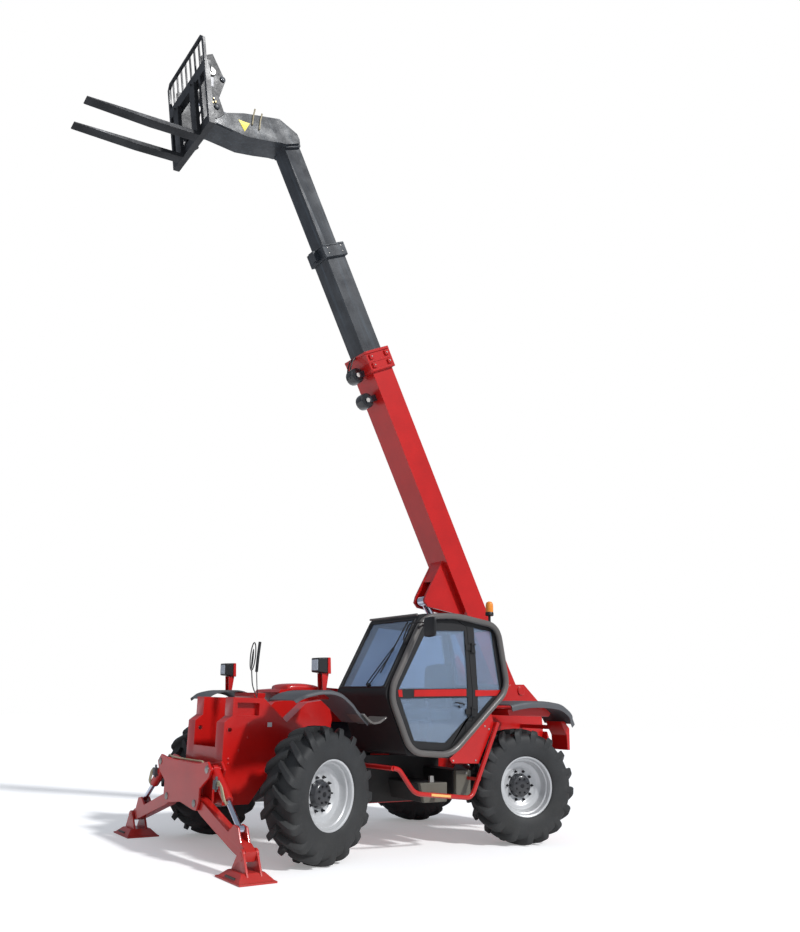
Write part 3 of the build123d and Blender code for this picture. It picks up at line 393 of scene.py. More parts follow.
def linker(tree):
    def connect(source, target):
        tree.links.new(source, target)
    return connect


def useGroup(tree, group, values):
    node = tree.nodes.new("ShaderNodeGroup")
    node.node_tree = group
    for label, value in values.items():
        node.inputs[label].default_value = value
    return node


def opaque(colour):
    return (*colour, 1.0)


# A finish from one dictionary: two tones, edge wear, dust and grain, with roughness that follows the dust
def makeFinish(name, finish):
    material = bpy.data.materials.new(name)
    material.use_nodes = True
    tree = material.node_tree
    connect = linker(tree)
    shader = tree.nodes["Principled BSDF"]
    tone = useGroup(tree, toneGroup, {
        "Light": opaque(finish["light"]), "Dark": opaque(finish["dark"]),
        "Scale": finish.get("blotch", 3.0), "Fine Scale": finish.get("fleck", 60.0)})
    colour = tone.outputs["Color"]
    if finish.get("wear"):
        wear = useGroup(tree, wearGroup, {
            "Bare": opaque(finish.get("bare", (0.18, 0.17, 0.16))), "Width": finish.get("wearWidth", 0.004),
            "Amount": finish["wear"]})
        connect(colour, wear.inputs["Color"])
        colour = wear.outputs["Color"]
    rough = tree.nodes.new("ShaderNodeMapRange")
    rough.inputs["To Min"].default_value = finish["rough"]
    rough.inputs["To Max"].default_value = min(1.0, finish["rough"] + finish.get("roughSpread", 0.3))
    if finish.get("scuff"):
        scuff = useGroup(tree, scuffGroup, {"Scuff": opaque(finish["scuffColour"]), "Amount": finish["scuff"]})
        connect(colour, scuff.inputs["Color"])
        colour = scuff.outputs["Color"]
    if finish.get("dust"):
        dust = useGroup(tree, dustGroup, {
            "Dust": opaque(finish.get("dustColour", (0.22, 0.19, 0.15))), "Top Height": finish.get("dustTop", 1.1),
            "Amount": finish["dust"]})
        connect(colour, dust.inputs["Color"])
        colour = dust.outputs["Color"]
        connect(dust.outputs["Mask"], rough.inputs["Value"])
    else:
        connect(tone.outputs["Mask"], rough.inputs["Value"])
    connect(colour, shader.inputs["Base Color"])
    connect(rough.outputs["Result"], shader.inputs["Roughness"])
    grain = useGroup(tree, grainGroup, {
        "Scale": finish.get("grain", 200.0), "Wave Scale": finish.get("wave", 6.0),
        "Wave Share": finish.get("waveShare", 0.3)})
    bump = tree.nodes.new("ShaderNodeBump")
    bump.inputs["Strength"].default_value = finish.get("bump", 0.1)
    bump.inputs["Distance"].default_value = finish.get("depth", 0.001)
    connect(grain.outputs["Height"], bump.inputs["Height"])
    connect(bump.outputs["Normal"], shader.inputs["Normal"])
    shader.inputs["Metallic"].default_value = finish.get("metal", 0.0)
    shader.inputs["Coat Weight"].default_value = finish.get("coat", 0.0)
    shader.inputs["Coat Roughness"].default_value = finish.get("coatRough", 0.08)
    shader.inputs["Specular IOR Level"].default_value = finish.get("specular", 0.5)
    return material


finishes = {
    "redPaint": {"light": (0.55, 0.008, 0.006), "dark": (0.44, 0.006, 0.005), "rough": 0.30, "roughSpread": 0.4,
                 "coat": 0.22, "wear": 0.35, "bare": (0.30, 0.03, 0.02), "dust": 0.25, "dustTop": 0.8, "bump": 0.04,
                 "grain": 260, "wave": 9, "waveShare": 0.6},
    "blackPaint": {"light": (0.022, 0.026, 0.034), "dark": (0.012, 0.014, 0.020), "rough": 0.28, "coat": 0.4,
                   "wear": 0.5, "bare": (0.12, 0.12, 0.12), "dust": 0.3, "bump": 0.05},
    "forkSteel": {"light": (0.020, 0.022, 0.026), "dark": (0.010, 0.011, 0.013), "rough": 0.38, "wear": 0.7,
                  "bare": (0.28, 0.27, 0.26), "metal": 0.4, "bump": 0.12, "grain": 120},
    "loopGrey": {"light": (0.125, 0.115, 0.108), "dark": (0.095, 0.088, 0.083), "rough": 0.38, "coat": 0.2,
                 "bump": 0.05, "dust": 0.2},
    "boxGrey": {"light": (0.115, 0.110, 0.088), "dark": (0.085, 0.082, 0.066), "rough": 0.5, "dust": 0.5, "bump": 0.06},
    "fenderPlastic": {"light": (0.085, 0.090, 0.100), "dark": (0.065, 0.070, 0.078), "rough": 0.55, "bump": 0.25,
                      "grain": 420, "depth": 0.0008, "dust": 0.25, "dustTop": 1.8},
    "blackTrim": {"light": (0.012, 0.012, 0.013), "dark": (0.007, 0.007, 0.008), "rough": 0.42, "bump": 0.12,
                  "grain": 350, "dust": 0.25},
    "seatCloth": {"light": (0.055, 0.085, 0.085), "dark": (0.030, 0.050, 0.050), "rough": 0.92, "bump": 0.5,
                  "grain": 900, "fleck": 400, "specular": 0.2},
    "engineIron": {"light": (0.06, 0.06, 0.065), "dark": (0.03, 0.03, 0.032), "rough": 0.6, "metal": 0.3, "bump": 0.3,
                   "grain": 90},
    "amberLens": {"light": (0.95, 0.36, 0.02), "dark": (0.85, 0.25, 0.01), "rough": 0.12, "coat": 0.8, "bump": 0.05,
                  "grain": 60},
    "rimSilver": {"light": (0.60, 0.61, 0.62), "dark": (0.50, 0.51, 0.52), "rough": 0.34, "coat": 0.25, "metal": 0.25,
                  "bump": 0.05, "dust": 0.35, "dustTop": 0.9},
    "tyreRubber": {"light": (0.030, 0.032, 0.034), "dark": (0.017, 0.018, 0.019), "rough": 0.62, "roughSpread": 0.25,
                   "bump": 0.35, "grain": 150, "depth": 0.0015, "dust": 0.30, "dustTop": 1.5,
                   "dustColour": (0.10, 0.095, 0.085), "specular": 0.35},
    "chrome": {"light": (0.66, 0.70, 0.80), "dark": (0.58, 0.62, 0.74), "rough": 0.10, "roughSpread": 0.1, "metal": 1.0,
               "bump": 0.02},
    "zincSteel": {"light": (0.45, 0.44, 0.42), "dark": (0.35, 0.34, 0.32), "rough": 0.35, "metal": 0.9, "bump": 0.08},
    "cabBlack": {"light": (0.010, 0.010, 0.011), "dark": (0.006, 0.006, 0.007), "rough": 0.62, "bump": 0.05,
                 "dust": 0.2},
    "boomBlack": {"light": (0.020, 0.026, 0.034), "dark": (0.010, 0.013, 0.018), "rough": 0.38, "coat": 0.25,
                  "wear": 0.6, "blotch": 5, "fleck": 90, "bare": (0.16, 0.16, 0.16), "bump": 0.08, "scuff": 0.6,
                  "scuffColour": (0.055, 0.080, 0.105)},
    "carriageBlack": {"light": (0.016, 0.018, 0.022), "dark": (0.008, 0.009, 0.012), "rough": 0.36, "wear": 0.6,
                      "bare": (0.16, 0.16, 0.16), "bump": 0.08},
    "glossBlack": {"light": (0.008, 0.008, 0.009), "dark": (0.005, 0.005, 0.006), "rough": 0.12, "coat": 0.8,
                   "bump": 0.02},
    "hubIron": {"light": (0.030, 0.030, 0.034), "dark": (0.014, 0.014, 0.016), "rough": 0.32, "metal": 0.5,
                "bump": 0.1},
    "castGrey": {"light": (0.17, 0.17, 0.18), "dark": (0.10, 0.10, 0.11), "rough": 0.45, "metal": 0.5, "bump": 0.2,
                 "grain": 120},
    "hoseCream": {"light": (0.46, 0.40, 0.26), "dark": (0.32, 0.27, 0.17), "rough": 0.45, "bump": 0.1},
    "brass": {"light": (0.50, 0.42, 0.22), "dark": (0.36, 0.30, 0.16), "rough": 0.3, "metal": 0.8, "bump": 0.05},
    "labelGrey": {"light": (0.62, 0.62, 0.64), "dark": (0.54, 0.54, 0.57), "rough": 0.4, "bump": 0.02},
    "signYellow": {"light": (0.88, 0.72, 0.02), "dark": (0.80, 0.64, 0.02), "rough": 0.35, "bump": 0.02},
    "stripAmber": {"light": (0.85, 0.50, 0.16), "dark": (0.74, 0.40, 0.10), "rough": 0.35, "bump": 0.05},
    "lampGlass": {"light": (0.62, 0.66, 0.72), "dark": (0.45, 0.48, 0.54), "rough": 0.08, "coat": 1.0, "metal": 0.4,
                  "bump": 0.3, "grain": 60, "blotch": 20},
    "lampRed": {"light": (0.45, 0.02, 0.02), "dark": (0.32, 0.01, 0.01), "rough": 0.12, "coat": 0.8, "bump": 0.05},
}
paints = {name: makeFinish(name, finish) for name, finish in finishes.items()}


# Tinted glass whose back shows the room behind it
def makeGlass(name, tint, rough, strength):
    material = bpy.data.materials.new(name)
    material.use_nodes = True
    tree = material.node_tree
    connect = linker(tree)
    shader = tree.nodes["Principled BSDF"]
    darker = opaque([0.9 * part for part in tint])
    tone = useGroup(tree, toneGroup, {"Light": opaque(tint), "Dark": darker, "Scale": 1.5})
    connect(tone.outputs["Color"], shader.inputs["Base Color"])
    shader.inputs["Roughness"].default_value = rough
    shader.inputs["Metallic"].default_value = 0.0
    shader.inputs["Transmission Weight"].default_value = strength
    shader.inputs["IOR"].default_value = 1.45
    return material


paints["cabGlass"] = makeGlass("cabGlass", (0.62, 0.78, 1.0), 0.02, 0.80)
print("materials made:", len(paints))

# Wheel corners: distance from the rear axle, side and steering angle
corners = {"front_left": (2.8, 1, 16), "front_right": (2.8, -1, 16),
           "rear_left": (0.0, 1, -16), "rear_right": (0.0, -1, -16)}

# The finish of each CAD node
nodeFinish = {
    "redPaint": ["frame_left", "frame_right", "cross_members", "counterweight", "stabiliser_beam", "boom_base",
                 "leg_left", "leg_right", "leg_barrel_left", "leg_barrel_right", "lift_barrel", "engine_hood",
                 "side_step", "pad_left", "pad_right"],
    "blackPaint": ["boom_mid", "boom_inner", "carriage", "tilt_barrel", "front_axle", "rear_axle", "hose_drums",
                   "engine_bay", *["knuckle_" + corner for corner in corners]],
    "forkSteel": ["forks"],
    "loopGrey": ["cab_loop"],
    "boxGrey": ["service_boxes"],
    "fenderPlastic": ["fenders"],
    "blackTrim": ["cab_shell", "door_frame", "mirrors", "console", "lamps"],
    "seatCloth": ["seat"],
    "engineIron": ["engine"],
    "amberLens": ["beacon"],
    "chrome": ["lift_rod", "tilt_rod", "leg_rod_left", "leg_rod_right"],
    "cabGlass": ["cab_glass", "door_glass"],
    "rimSilver": ["rim_" + corner for corner in corners],
    "tyreRubber": ["tyre_" + corner for corner in corners],
}
for finish, nodes in nodeFinish.items():
    for node in nodes:
        frame["nodes"][node].data.materials.clear()
        frame["nodes"][node].data.materials.append(paints[finish])

# Wheels: each lug is a six-sided section carried from the middle of the tread over the shoulder and down the side
wheel = {"pinY": 0.8, "axleZ": 0.62, "offset": 0.21}
tyre = {
    "lugs": 17, "reach": 0.162, "width": 0.054, "flare": 0.012, "round": 0.007, "widen": 0.008, "widenOver": 0.15,
    "sweepFrom": -0.012, "sweepOver": 0.206, "tread": 0.6, "sides": 102,
    # Half of the carcass from the bead to the middle of the tread: radius and distance from the middle
    "side": [(0.300, 0.120), (0.304, 0.150), (0.326, 0.172), (0.334, 0.180), (0.342, 0.183), (0.36, 0.190),
             (0.40, 0.1965), (0.45, 0.1985), (0.495, 0.1955), (0.528, 0.185), (0.548, 0.170), (0.560, 0.148),
             (0.567, 0.10), (0.569, 0.05)],
    # Along a lug: distance from the middle, top radius and foot radius
    "run": [(-0.014, 0.615, 0.56), (0.02, 0.6188, 0.56), (0.07, 0.6185, 0.56), (0.115, 0.616, 0.56),
            (0.150, 0.6105, 0.55), (0.172, 0.601, 0.53), (0.186, 0.584, 0.51), (0.193, 0.560, 0.49),
            (0.1965, 0.530, 0.47), (0.1985, 0.500, 0.46)],
}


def wheelPlace(corner):
    axleX, side, steer = corners[corner]
    turn = math.radians(steer)
    outward = Vector((-side * math.sin(turn), side * math.cos(turn), 0))
    heading = Vector((math.cos(turn), math.sin(turn), 0))
    matrix = Matrix((heading, Vector((0, 0, -1)), outward)).transposed().to_4x4()
    matrix.translation = Vector((axleX, side * wheel["pinY"], wheel["axleZ"])) + outward * wheel["offset"]
    return matrix


def lugShapes():
    across, top, foot = np.array(tyre["run"]).T
    half = tyre["width"] / 2 + tyre["widen"] * np.clip(across / tyre["widenOver"], 0, 1)
    shift = tyre["reach"] * ((across - tyre["sweepFrom"]) / tyre["sweepOver"] - 0.5)
    cut, flare = tyre["round"], tyre["flare"]
    # Section corners: width beside the lug's line and radius, from one foot over the top to the other foot
    wide = np.stack([-half - flare, -half, cut - half, half - cut, half, half + flare], axis=1)
    high = np.stack([foot, top - cut, top, top, top - cut, foot], axis=1)
    shapes = []
    for row in (1, -1):
        for k in range(tyre["lugs"]):
            start = 2 * math.pi / tyre["lugs"] * (k + (0.5 if row < 0 else 0))
            angle = start + (shift[:, None] + wide) / tyre["tread"]
            grid = np.stack([high * np.cos(angle), high * np.sin(angle), row * across[:, None] + 0 * high], axis=-1)
            shapes.append(gridShape(grid))
    return shapes


tyreSide = np.array(tyre["side"])
tyreLoop = np.vstack([tyreSide, tyreSide[::-1] * (1, -1)])
tyreShape = joined(turned(tyreLoop, count=tyre["sides"], hollow=True), *lugShapes())

rim = {
    # Radius and distance from the middle, out along the back, round the flanges and down the dish
    "profile": [(0.080, -0.010), (0.150, -0.014), (0.220, -0.080), (0.285, -0.150), (0.302, -0.164), (0.326, -0.167),
                (0.3295, -0.162), (0.310, -0.148), (0.304, -0.135), (0.304, 0.135), (0.310, 0.148), (0.3295, 0.162),
                (0.328, 0.1672), (0.321, 0.1675), (0.305, 0.158), (0.296, 0.138), (0.291, 0.118), (0.278, 0.110),
                (0.270, 0.090), (0.263, 0.058), (0.252, 0.043), (0.236, 0.038), (0.214, 0.036), (0.198, 0.028),
                (0.184, 0.014), (0.150, 0.007), (0.080, 0.006)],
    "hub": [(0.128, 0.0), (0.132, 0.008), (0.126, 0.020), (0.120, 0.044), (0.112, 0.060), (0.095, 0.071),
            (0.040, 0.0745)],
    "nut": [(0.0155, -0.004), (0.0155, 0.012), (0.0125, 0.015)],
    "bolt": [(0.0075, 0.0), (0.0075, 0.034), (0.0055, 0.037)],
    "stud": [(0.011, -0.006), (0.011, 0.007), (0.0085, 0.010)],
    "plug": [(0.024, 0.070), (0.024, 0.0765), (0.018, 0.0785)],
    # Count, ring radius, height and share of a step
    "nutRing": (10, 0.156, 0.008, 0.0), "studRing": (8, 0.078, 0.074, 0.5),
}


def ringOf(shape, count, radius, height, phase):
    made = []
    for k in range(count):
        angle = 2 * math.pi * (k + phase) / count
        made.append(moved(shape, Matrix.Translation((radius * math.cos(angle), radius * math.sin(angle), height))))
    return joined(*made)


nutShape = joined(turned(rim["nut"], count=6), turned(rim["bolt"], count=16))
nuts, studs = ringOf(nutShape, *rim["nutRing"]), ringOf(turned(rim["stud"], count=6), *rim["studRing"])
wheelParts = (
    ("tyreRubber_", tyreShape, "tyreRubber", "tyre_"),
    ("rimDish_", turned(rim["profile"], count=96, hollow=True), "rimSilver", "rim_"),
    ("hubCap_", turned(rim["hub"], count=64), "blackPaint", "rim_"),
    ("wheelNuts_", joined(nuts, studs, turned(rim["plug"], count=32)), "hubIron", None))
for corner in corners:
    for name, shape, finish, node in wheelParts:
        addPiece(name + corner, moved(shape, wheelPlace(corner)), "wheel_" + corner, finish,
                 stands=[node + corner] if node else ())
print("wheels dressed")

# Cab: the outline's corners are moved in by the tube's radius, where neighbouring edges meet again
cab = {
    "outline": [(1.630, 2.400), (2.080, 1.570), (1.780, 0.960), (1.210, 0.930), (0.340, 1.650), (0.500, 2.390),
                (1.160, 2.450)],
    "loopY": 1.153, "loopRadius": 0.033, "bend": 0.16,
    "doorStrip": [(0.975, 1.647), (1.700, 1.612), (1.700, 1.544), (0.975, 1.573)],
    "frontStrip": [(1.862, 1.606), (1.912, 1.603), (1.898, 1.534), (1.850, 1.536)],
    "quarterStrip": [(0.452, 1.655), (0.842, 1.640), (0.842, 1.575), (0.520, 1.590)], "strip": (1.122, 0.005),
    "handle": [(1.02, 1.121, 1.48), (1.02, 1.150, 1.485), (1.13, 1.150, 1.50), (1.13, 1.121, 1.50)],
    "handleRadius": 0.007, "lock": (1.075, 1.120, 1.46), "softShell": 0.006, "softDoor": 0.004,
}


def inset(points, distance):
    points = np.asarray(points, float)
    edge = np.roll(points, -1, axis=0) - points
    edge /= np.linalg.norm(edge, axis=1)[:, None]
    area = np.sum(points[:, 0] * np.roll(points[:, 1], -1) - points[:, 1] * np.roll(points[:, 0], -1))
    normal = np.stack([-edge[:, 1], edge[:, 0]], axis=1) * np.sign(area)
    level = np.sum(normal * points, axis=1) + distance
    before, levelBefore = np.roll(normal, 1, axis=0), np.roll(level, 1)
    cross = before[:, 0] * normal[:, 1] - before[:, 1] * normal[:, 0]
    x = (levelBefore * normal[:, 1] - level * before[:, 1]) / cross
    z = (level * before[:, 0] - levelBefore * normal[:, 0]) / cross
    return np.stack([x, z], axis=1)


loopPath = roundedPath(inset(cab["outline"], cab["loopRadius"]), cab["bend"], 10, closed=True)
addPiece("loopTube", carried(circle(cab["loopRadius"], 24), atY(loopPath, cab["loopY"]), closed=True), "chassis",
         "loopGrey", stands=["cab_loop"])
softened("cab_shell", "cabBlack", cab["softShell"])
softened("door_frame", "cabBlack", cab["softDoor"])
addPiece("stripDoor", joined(sideSlab(cab["doorStrip"], *cab["strip"]), sideSlab(cab["frontStrip"], *cab["strip"])),
         "door", "redPaint", bevel=0.001)
addPiece("stripQuarter", sideSlab(cab["quarterStrip"], *cab["strip"]), "chassis", "redPaint", bevel=0.001)
addPiece("doorHandle", joined(pipe(cab["handle"], cab["handleRadius"], 0.02, (0, 0, 1)), pinHead("lock", cab["lock"])),
         "door", "blackTrim")

# Windscreen frame coordinates: along the slope from the roof's front edge down, and out of the glass
screen = {"high": (1.630, 2.400), "low": (2.080, 1.570), "sealRadius": 0.007,
          "seal": [(0.062, 0.30), (0.062, 1.08), (0.880, 1.08), (0.880, 0.30)]}
screenDown = np.subtract(screen["low"], screen["high"])
screenDown = screenDown / np.linalg.norm(screenDown)
screenOut = np.array([-screenDown[1], screenDown[0]])


def onScreen(down, y, out):
    point = np.array(screen["high"]) + screenDown * down + screenOut * out
    return (point[0], y, point[1])


wiper = {"pivots": ((0.86, 0.77), (0.86, 0.83)), "head": ((0.42, 0.95), (0.44, 0.98)), "out": (-0.004, 0.020, 0.022),
         "armRadius": 0.006, "blade": ((0.10, 0.985, 0.012), (0.72, 0.915, 0.012)), "bladeRadius": 0.008,
         "motor": (0.86, 0.80, -0.006)}
inside, above, tipOut = wiper["out"]
wiperShapes = []
for pivot, tip in zip(wiper["pivots"], wiper["head"]):
    wiperShapes.append(pipe([onScreen(*pivot, inside), onScreen(*pivot, above), onScreen(*tip, tipOut)],
                            wiper["armRadius"], 0.01, (0, 0, 1), 10))
wiperShapes.append(pipe([onScreen(*end) for end in wiper["blade"]], wiper["bladeRadius"], 0.01, (0, 0, 1), 8))
wiperShapes.append(pinHead("wiper", onScreen(*wiper["motor"]), (screenOut[0], 0, screenOut[1])))
addPiece("wiperArms", joined(*wiperShapes), "chassis", "blackTrim")
sealEnds = zip(screen["seal"], screen["seal"][1:] + screen["seal"][:1])
seals = [pipe([onScreen(*start, 0.0), onScreen(*end, 0.0)], screen["sealRadius"], 0.01, (0, 0, 1), 8)
         for start, end in sealEnds]
addPiece("screenSeal", joined(*seals), "chassis", "blackTrim")

# Roof lip over the windscreen and a rail along the roof's inner edge
roof = {"lip": [(1.655, 0.27, 2.392), (1.655, 1.10, 2.392)], "radius": 0.012,
        "rail": [(0.52, 0.275, 2.405), (1.16, 0.275, 2.437), (1.60, 0.275, 2.398)]}
addPiece("roofLip", joined(pipe(roof["lip"], roof["radius"], side=(0, 0, 1)), pipe(roof["rail"], roof["radius"], 0.1)),
         "chassis", "loopGrey")

# Seat: rear, front, bottom and top of each padded block, and its width
seat = {"y": 0.69, "base": (0.945, 1.385, 1.295, 1.428), "back": (0.935, 1.062, 1.43, 1.925), "wide": (0.41, 0.40)}


# A padded block whose section is a rounded box, |a|^n + |b|^n = 1, that swells along its length
def cushion(length, width, height, power=4.0, swell=0.12, count=40, lines=22):
    angle = np.linspace(0, 2 * math.pi, count, endpoint=False)
    t = np.linspace(-1, 1, lines)
    size = (1 - np.abs(t) ** 6) ** (1 / 6) * 0.985 + 0.012
    a = np.sign(np.cos(angle)) * np.abs(np.cos(angle)) ** (2 / power)
    b = np.sign(np.sin(angle)) * np.abs(np.sin(angle)) ** (2 / power)
    puff = 1 - swell + swell * np.cos(t * math.pi / 2)
    grid = np.stack([np.broadcast_to(t[:, None] * length / 2, (lines, count)),
                     size[:, None] * a[None] * width / 2,
                     (size * puff)[:, None] * b[None] * height / 2], axis=-1)
    return gridShape(grid)


def seatPlace(block):
    return Matrix.Translation(((block[0] + block[1]) / 2, seat["y"], (block[2] + block[3]) / 2))


rear, front, bottom, top = seat["base"]
seatBase = moved(cushion(front - rear, seat["wide"][0], top - bottom), seatPlace(seat["base"]))
rear, front, bottom, top = seat["back"]
seatBack = moved(cushion(top - bottom, seat["wide"][1], front - rear),
                 seatPlace(seat["back"]) @ Matrix.Rotation(math.radians(-90), 4, "Y"))
seatPad = addPiece("seatPads", joined(seatBase, seatBack), "chassis", "seatCloth", stands=["seat"], smooth=60)

# Steering wheel on its column: ring(a) = hub + radius·(cos a, sin a) square to the column
steering = {"axis": (-0.5, 0, 0.866), "foot": (1.66, 0.69, 1.44), "column": 0.141, "ring": 0.175, "tube": 0.013,
            "spokes": 3, "spoke": 0.009, "boss": [(0.030, -0.03), (0.036, 0.0), (0.030, 0.010)],
            "post": [(0.020, -0.16), (0.020, 0.0)]}
wheelAxis = Vector(steering["axis"])
wheelHub = Vector(steering["foot"]) + wheelAxis * steering["column"]
firstAxis, secondAxis = (np.array(axis) for axis in axesAlong(wheelAxis)[:2])


def onWheelRing(angle):
    return np.array(wheelHub) + steering["ring"] * (np.cos(angle) * firstAxis + np.sin(angle) * secondAxis)


ringPath = onWheelRing(np.linspace(0, 2 * math.pi, 48, endpoint=False)[:, None])
wheelShapes = [carried(circle(steering["tube"], 12), ringPath, tuple(wheelAxis), closed=True),
               turned(steering["boss"], wheelHub, wheelAxis, 32), turned(steering["post"], wheelHub, wheelAxis, 24)]
for k in range(steering["spokes"]):
    end = tuple(onWheelRing(2 * math.pi * k / steering["spokes"]))
    wheelShapes.append(pipe([tuple(wheelHub), end], steering["spoke"], side=tuple(wheelAxis), count=10))
addPiece("steeringWheel", joined(*wheelShapes), "chassis", "blackTrim")

console = {
    "dash": [(1.625, 1.002), (1.738, 1.002), (1.738, 1.44), (1.70, 1.478), (1.64, 1.43)], "dashWide": 0.39,
    "stand": [(1.255, 1.002), (1.395, 1.002), (1.365, 1.12), (1.395, 1.292), (1.255, 1.292), (1.285, 1.12)],
    "standWide": 0.28, "lever": [(1.36, 0.98, 1.28), (1.40, 0.98, 1.40), (1.41, 0.97, 1.47)],
    "leverRadius": 0.010, "knob": [(0.020, 0.0), (0.024, 0.02), (0.016, 0.05)], "knobPlace": (1.41, 0.97, 1.45),
}
addPiece("dashAndStand", joined(
    sideSlab(console["dash"], seat["y"], console["dashWide"]),
    sideSlab(console["stand"], seat["y"], console["standWide"]),
    pipe(console["lever"], console["leverRadius"], 0.03),
    turned(console["knob"], console["knobPlace"], (0, 0, 1), 20)),
    "chassis", "blackTrim", bevel=0.006, stands=["console"])
print("cab dressed")

# Guards: a thin section with a turned-down lip carried along the side outline, drawn in a little at both ends
guards = {
    "front": [(3.150, 1.470), (3.060, 1.528), (2.900, 1.566), (2.750, 1.570), (2.640, 1.545), (2.500, 1.450),
              (2.290, 1.280)],
    "rear": [(0.330, 1.500), (0.120, 1.545), (-0.200, 1.556), (-0.480, 1.530), (-0.650, 1.430), (-0.745, 1.310)],
    "inner": 0.70, "outer": 1.215, "lip": {"front": 0.040, "rear": 0.075}, "thick": 0.012, "bend": 0.16, "drawn": 0.09,
    # Bracket behind the front wheel, arm under the front guard, bearer and tail panel under the rear guard, each
    # as an outline, its middle and its width
    "bracket": ([(2.40, 1.352), (2.31, 1.278), (2.25, 1.262), (2.18, 1.275), (2.10, 1.325), (2.11, 1.338),
                 (2.20, 1.292), (2.27, 1.282), (2.33, 1.318), (2.38, 1.362)], 1.06, 0.28),
    "bracketBolt": ((2.14, 1.12, 1.310), (0.5, 0, 0.87)),
    "arm": ([(2.58, 1.545), (2.58, 1.50), (2.60, 1.485), (2.70, 1.485), (2.72, 1.50), (2.72, 1.545)], 0.655, 0.48),
    "bearer": ([(0.30, 1.45), (-0.30, 1.49), (-0.42, 1.42), (-0.38, 1.38), (0.28, 1.38)], 0.78, 0.60),
    "tail": ([(-0.62, 1.33), (-0.68, 1.33), (-0.765, 1.25), (-0.765, 1.00), (-0.72, 1.00), (-0.71, 1.17),
              (-0.64, 1.27)], 0.94, 0.24),
    "tailArm": ((-0.75, 0.33, 1.23), (-0.70, 0.94, 1.28)),
    "lowLamp": ((-0.773, 0.86, 1.02), (-0.763, 1.02, 1.09)), "highLamp": ((-0.773, 0.86, 1.12), (-0.763, 1.02, 1.20)),
}


def guardShape(kind):
    path = roundedPath(guards[kind], guards["bend"], 9)
    inner, outer, thick, lip = guards["inner"], guards["outer"], guards["thick"], guards["lip"][kind]
    section = np.array([(inner, 0), (outer - 0.05, 0), (outer - 0.022, -0.004), (outer - 0.006, -0.014),
                        (outer, -0.030), (outer, -lip), (outer - 0.008, -lip), (outer - 0.010, -0.030),
                        (outer - 0.024, -0.016), (outer - 0.05, -thick), (inner, -thick)])
    drawn = 1 - guards["drawn"] * np.abs(np.linspace(-1, 1, len(path))) ** 7
    slope = np.gradient(path, axis=0)
    slope /= np.linalg.norm(slope, axis=1)[:, None]
    up = np.stack([slope[:, 1], -slope[:, 0]], axis=1)
    across = inner + (section[None, :, 0] - inner) * drawn[:, None]
    side = path[:, None] + up[:, None] * section[None, :, 1:]
    return gridShape(np.stack([side[..., 0], across, side[..., 1]], axis=-1))


addPiece("wheelGuards", bothSides(guardShape("front"), guardShape("rear")), "chassis", "fenderPlastic",
         stands=["fenders"], smooth=50)
addPiece("guardBrackets", bothSides(sideSlab(*guards["bracket"]), pinHead("bolt", *guards["bracketBolt"])),
         "chassis", "loopGrey", bevel=0.004)
addPiece("guardArms", bothSides(sideSlab(*guards["arm"])), "chassis", "redPaint", bevel=0.004)
addPiece("guardFrame", bothSides(sideSlab(*guards["bearer"]), sideSlab(*guards["tail"]), brick(*guards["tailArm"])),
         "chassis", "redPaint", bevel=0.008)
addPiece("tailLamps", bothSides(brick(*guards["lowLamp"]), brick(*guards["highLamp"])), "chassis", "lampRed",
         bevel=0.004)

# Work lamps, the same on both sides: each part as an outline, its middle and its width
lamp = {
    "leg": [(2.728, 1.560), (2.768, 1.560), (2.780, 1.730), (2.708, 1.730)], "legY": (0.96, 1.04), "legWide": 0.012,
    "back": ([(2.726, 1.560), (2.738, 1.560), (2.716, 1.730), (2.704, 1.730)], 1.0, 0.090),
    "tray": ([(2.695, 1.726), (2.730, 1.726), (2.736, 1.880), (2.705, 1.880)], 1.0, 0.146),
    "box": ([(2.730, 1.730), (2.835, 1.736), (2.840, 1.872), (2.736, 1.880)], 1.0, 0.140),
    "foot": ([(2.730, 1.718), (2.762, 1.718), (2.762, 1.740), (2.730, 1.740)], 1.0, 0.06),
    "lens": ([(2.834, 1.752), (2.8415, 1.752), (2.8435, 1.856), (2.836, 1.856)], 1.0, 0.112),
}
lampLegs = [sideSlab(lamp["leg"], y, lamp["legWide"]) for y in lamp["legY"]]
addPiece("lampBrackets", bothSides(*lampLegs, sideSlab(*lamp["back"]), sideSlab(*lamp["tray"])), "chassis", "redPaint",
         bevel=0.004, stands=["lamps"])
addPiece("lampHousings", bothSides(sideSlab(*lamp["box"]), sideSlab(*lamp["foot"])), "chassis", "blackTrim",
         bevel=0.012, segments=3, stands=["lamps"])
addPiece("lampLenses", bothSides(sideSlab(*lamp["lens"])), "chassis", "lampGlass", bevel=0.003)

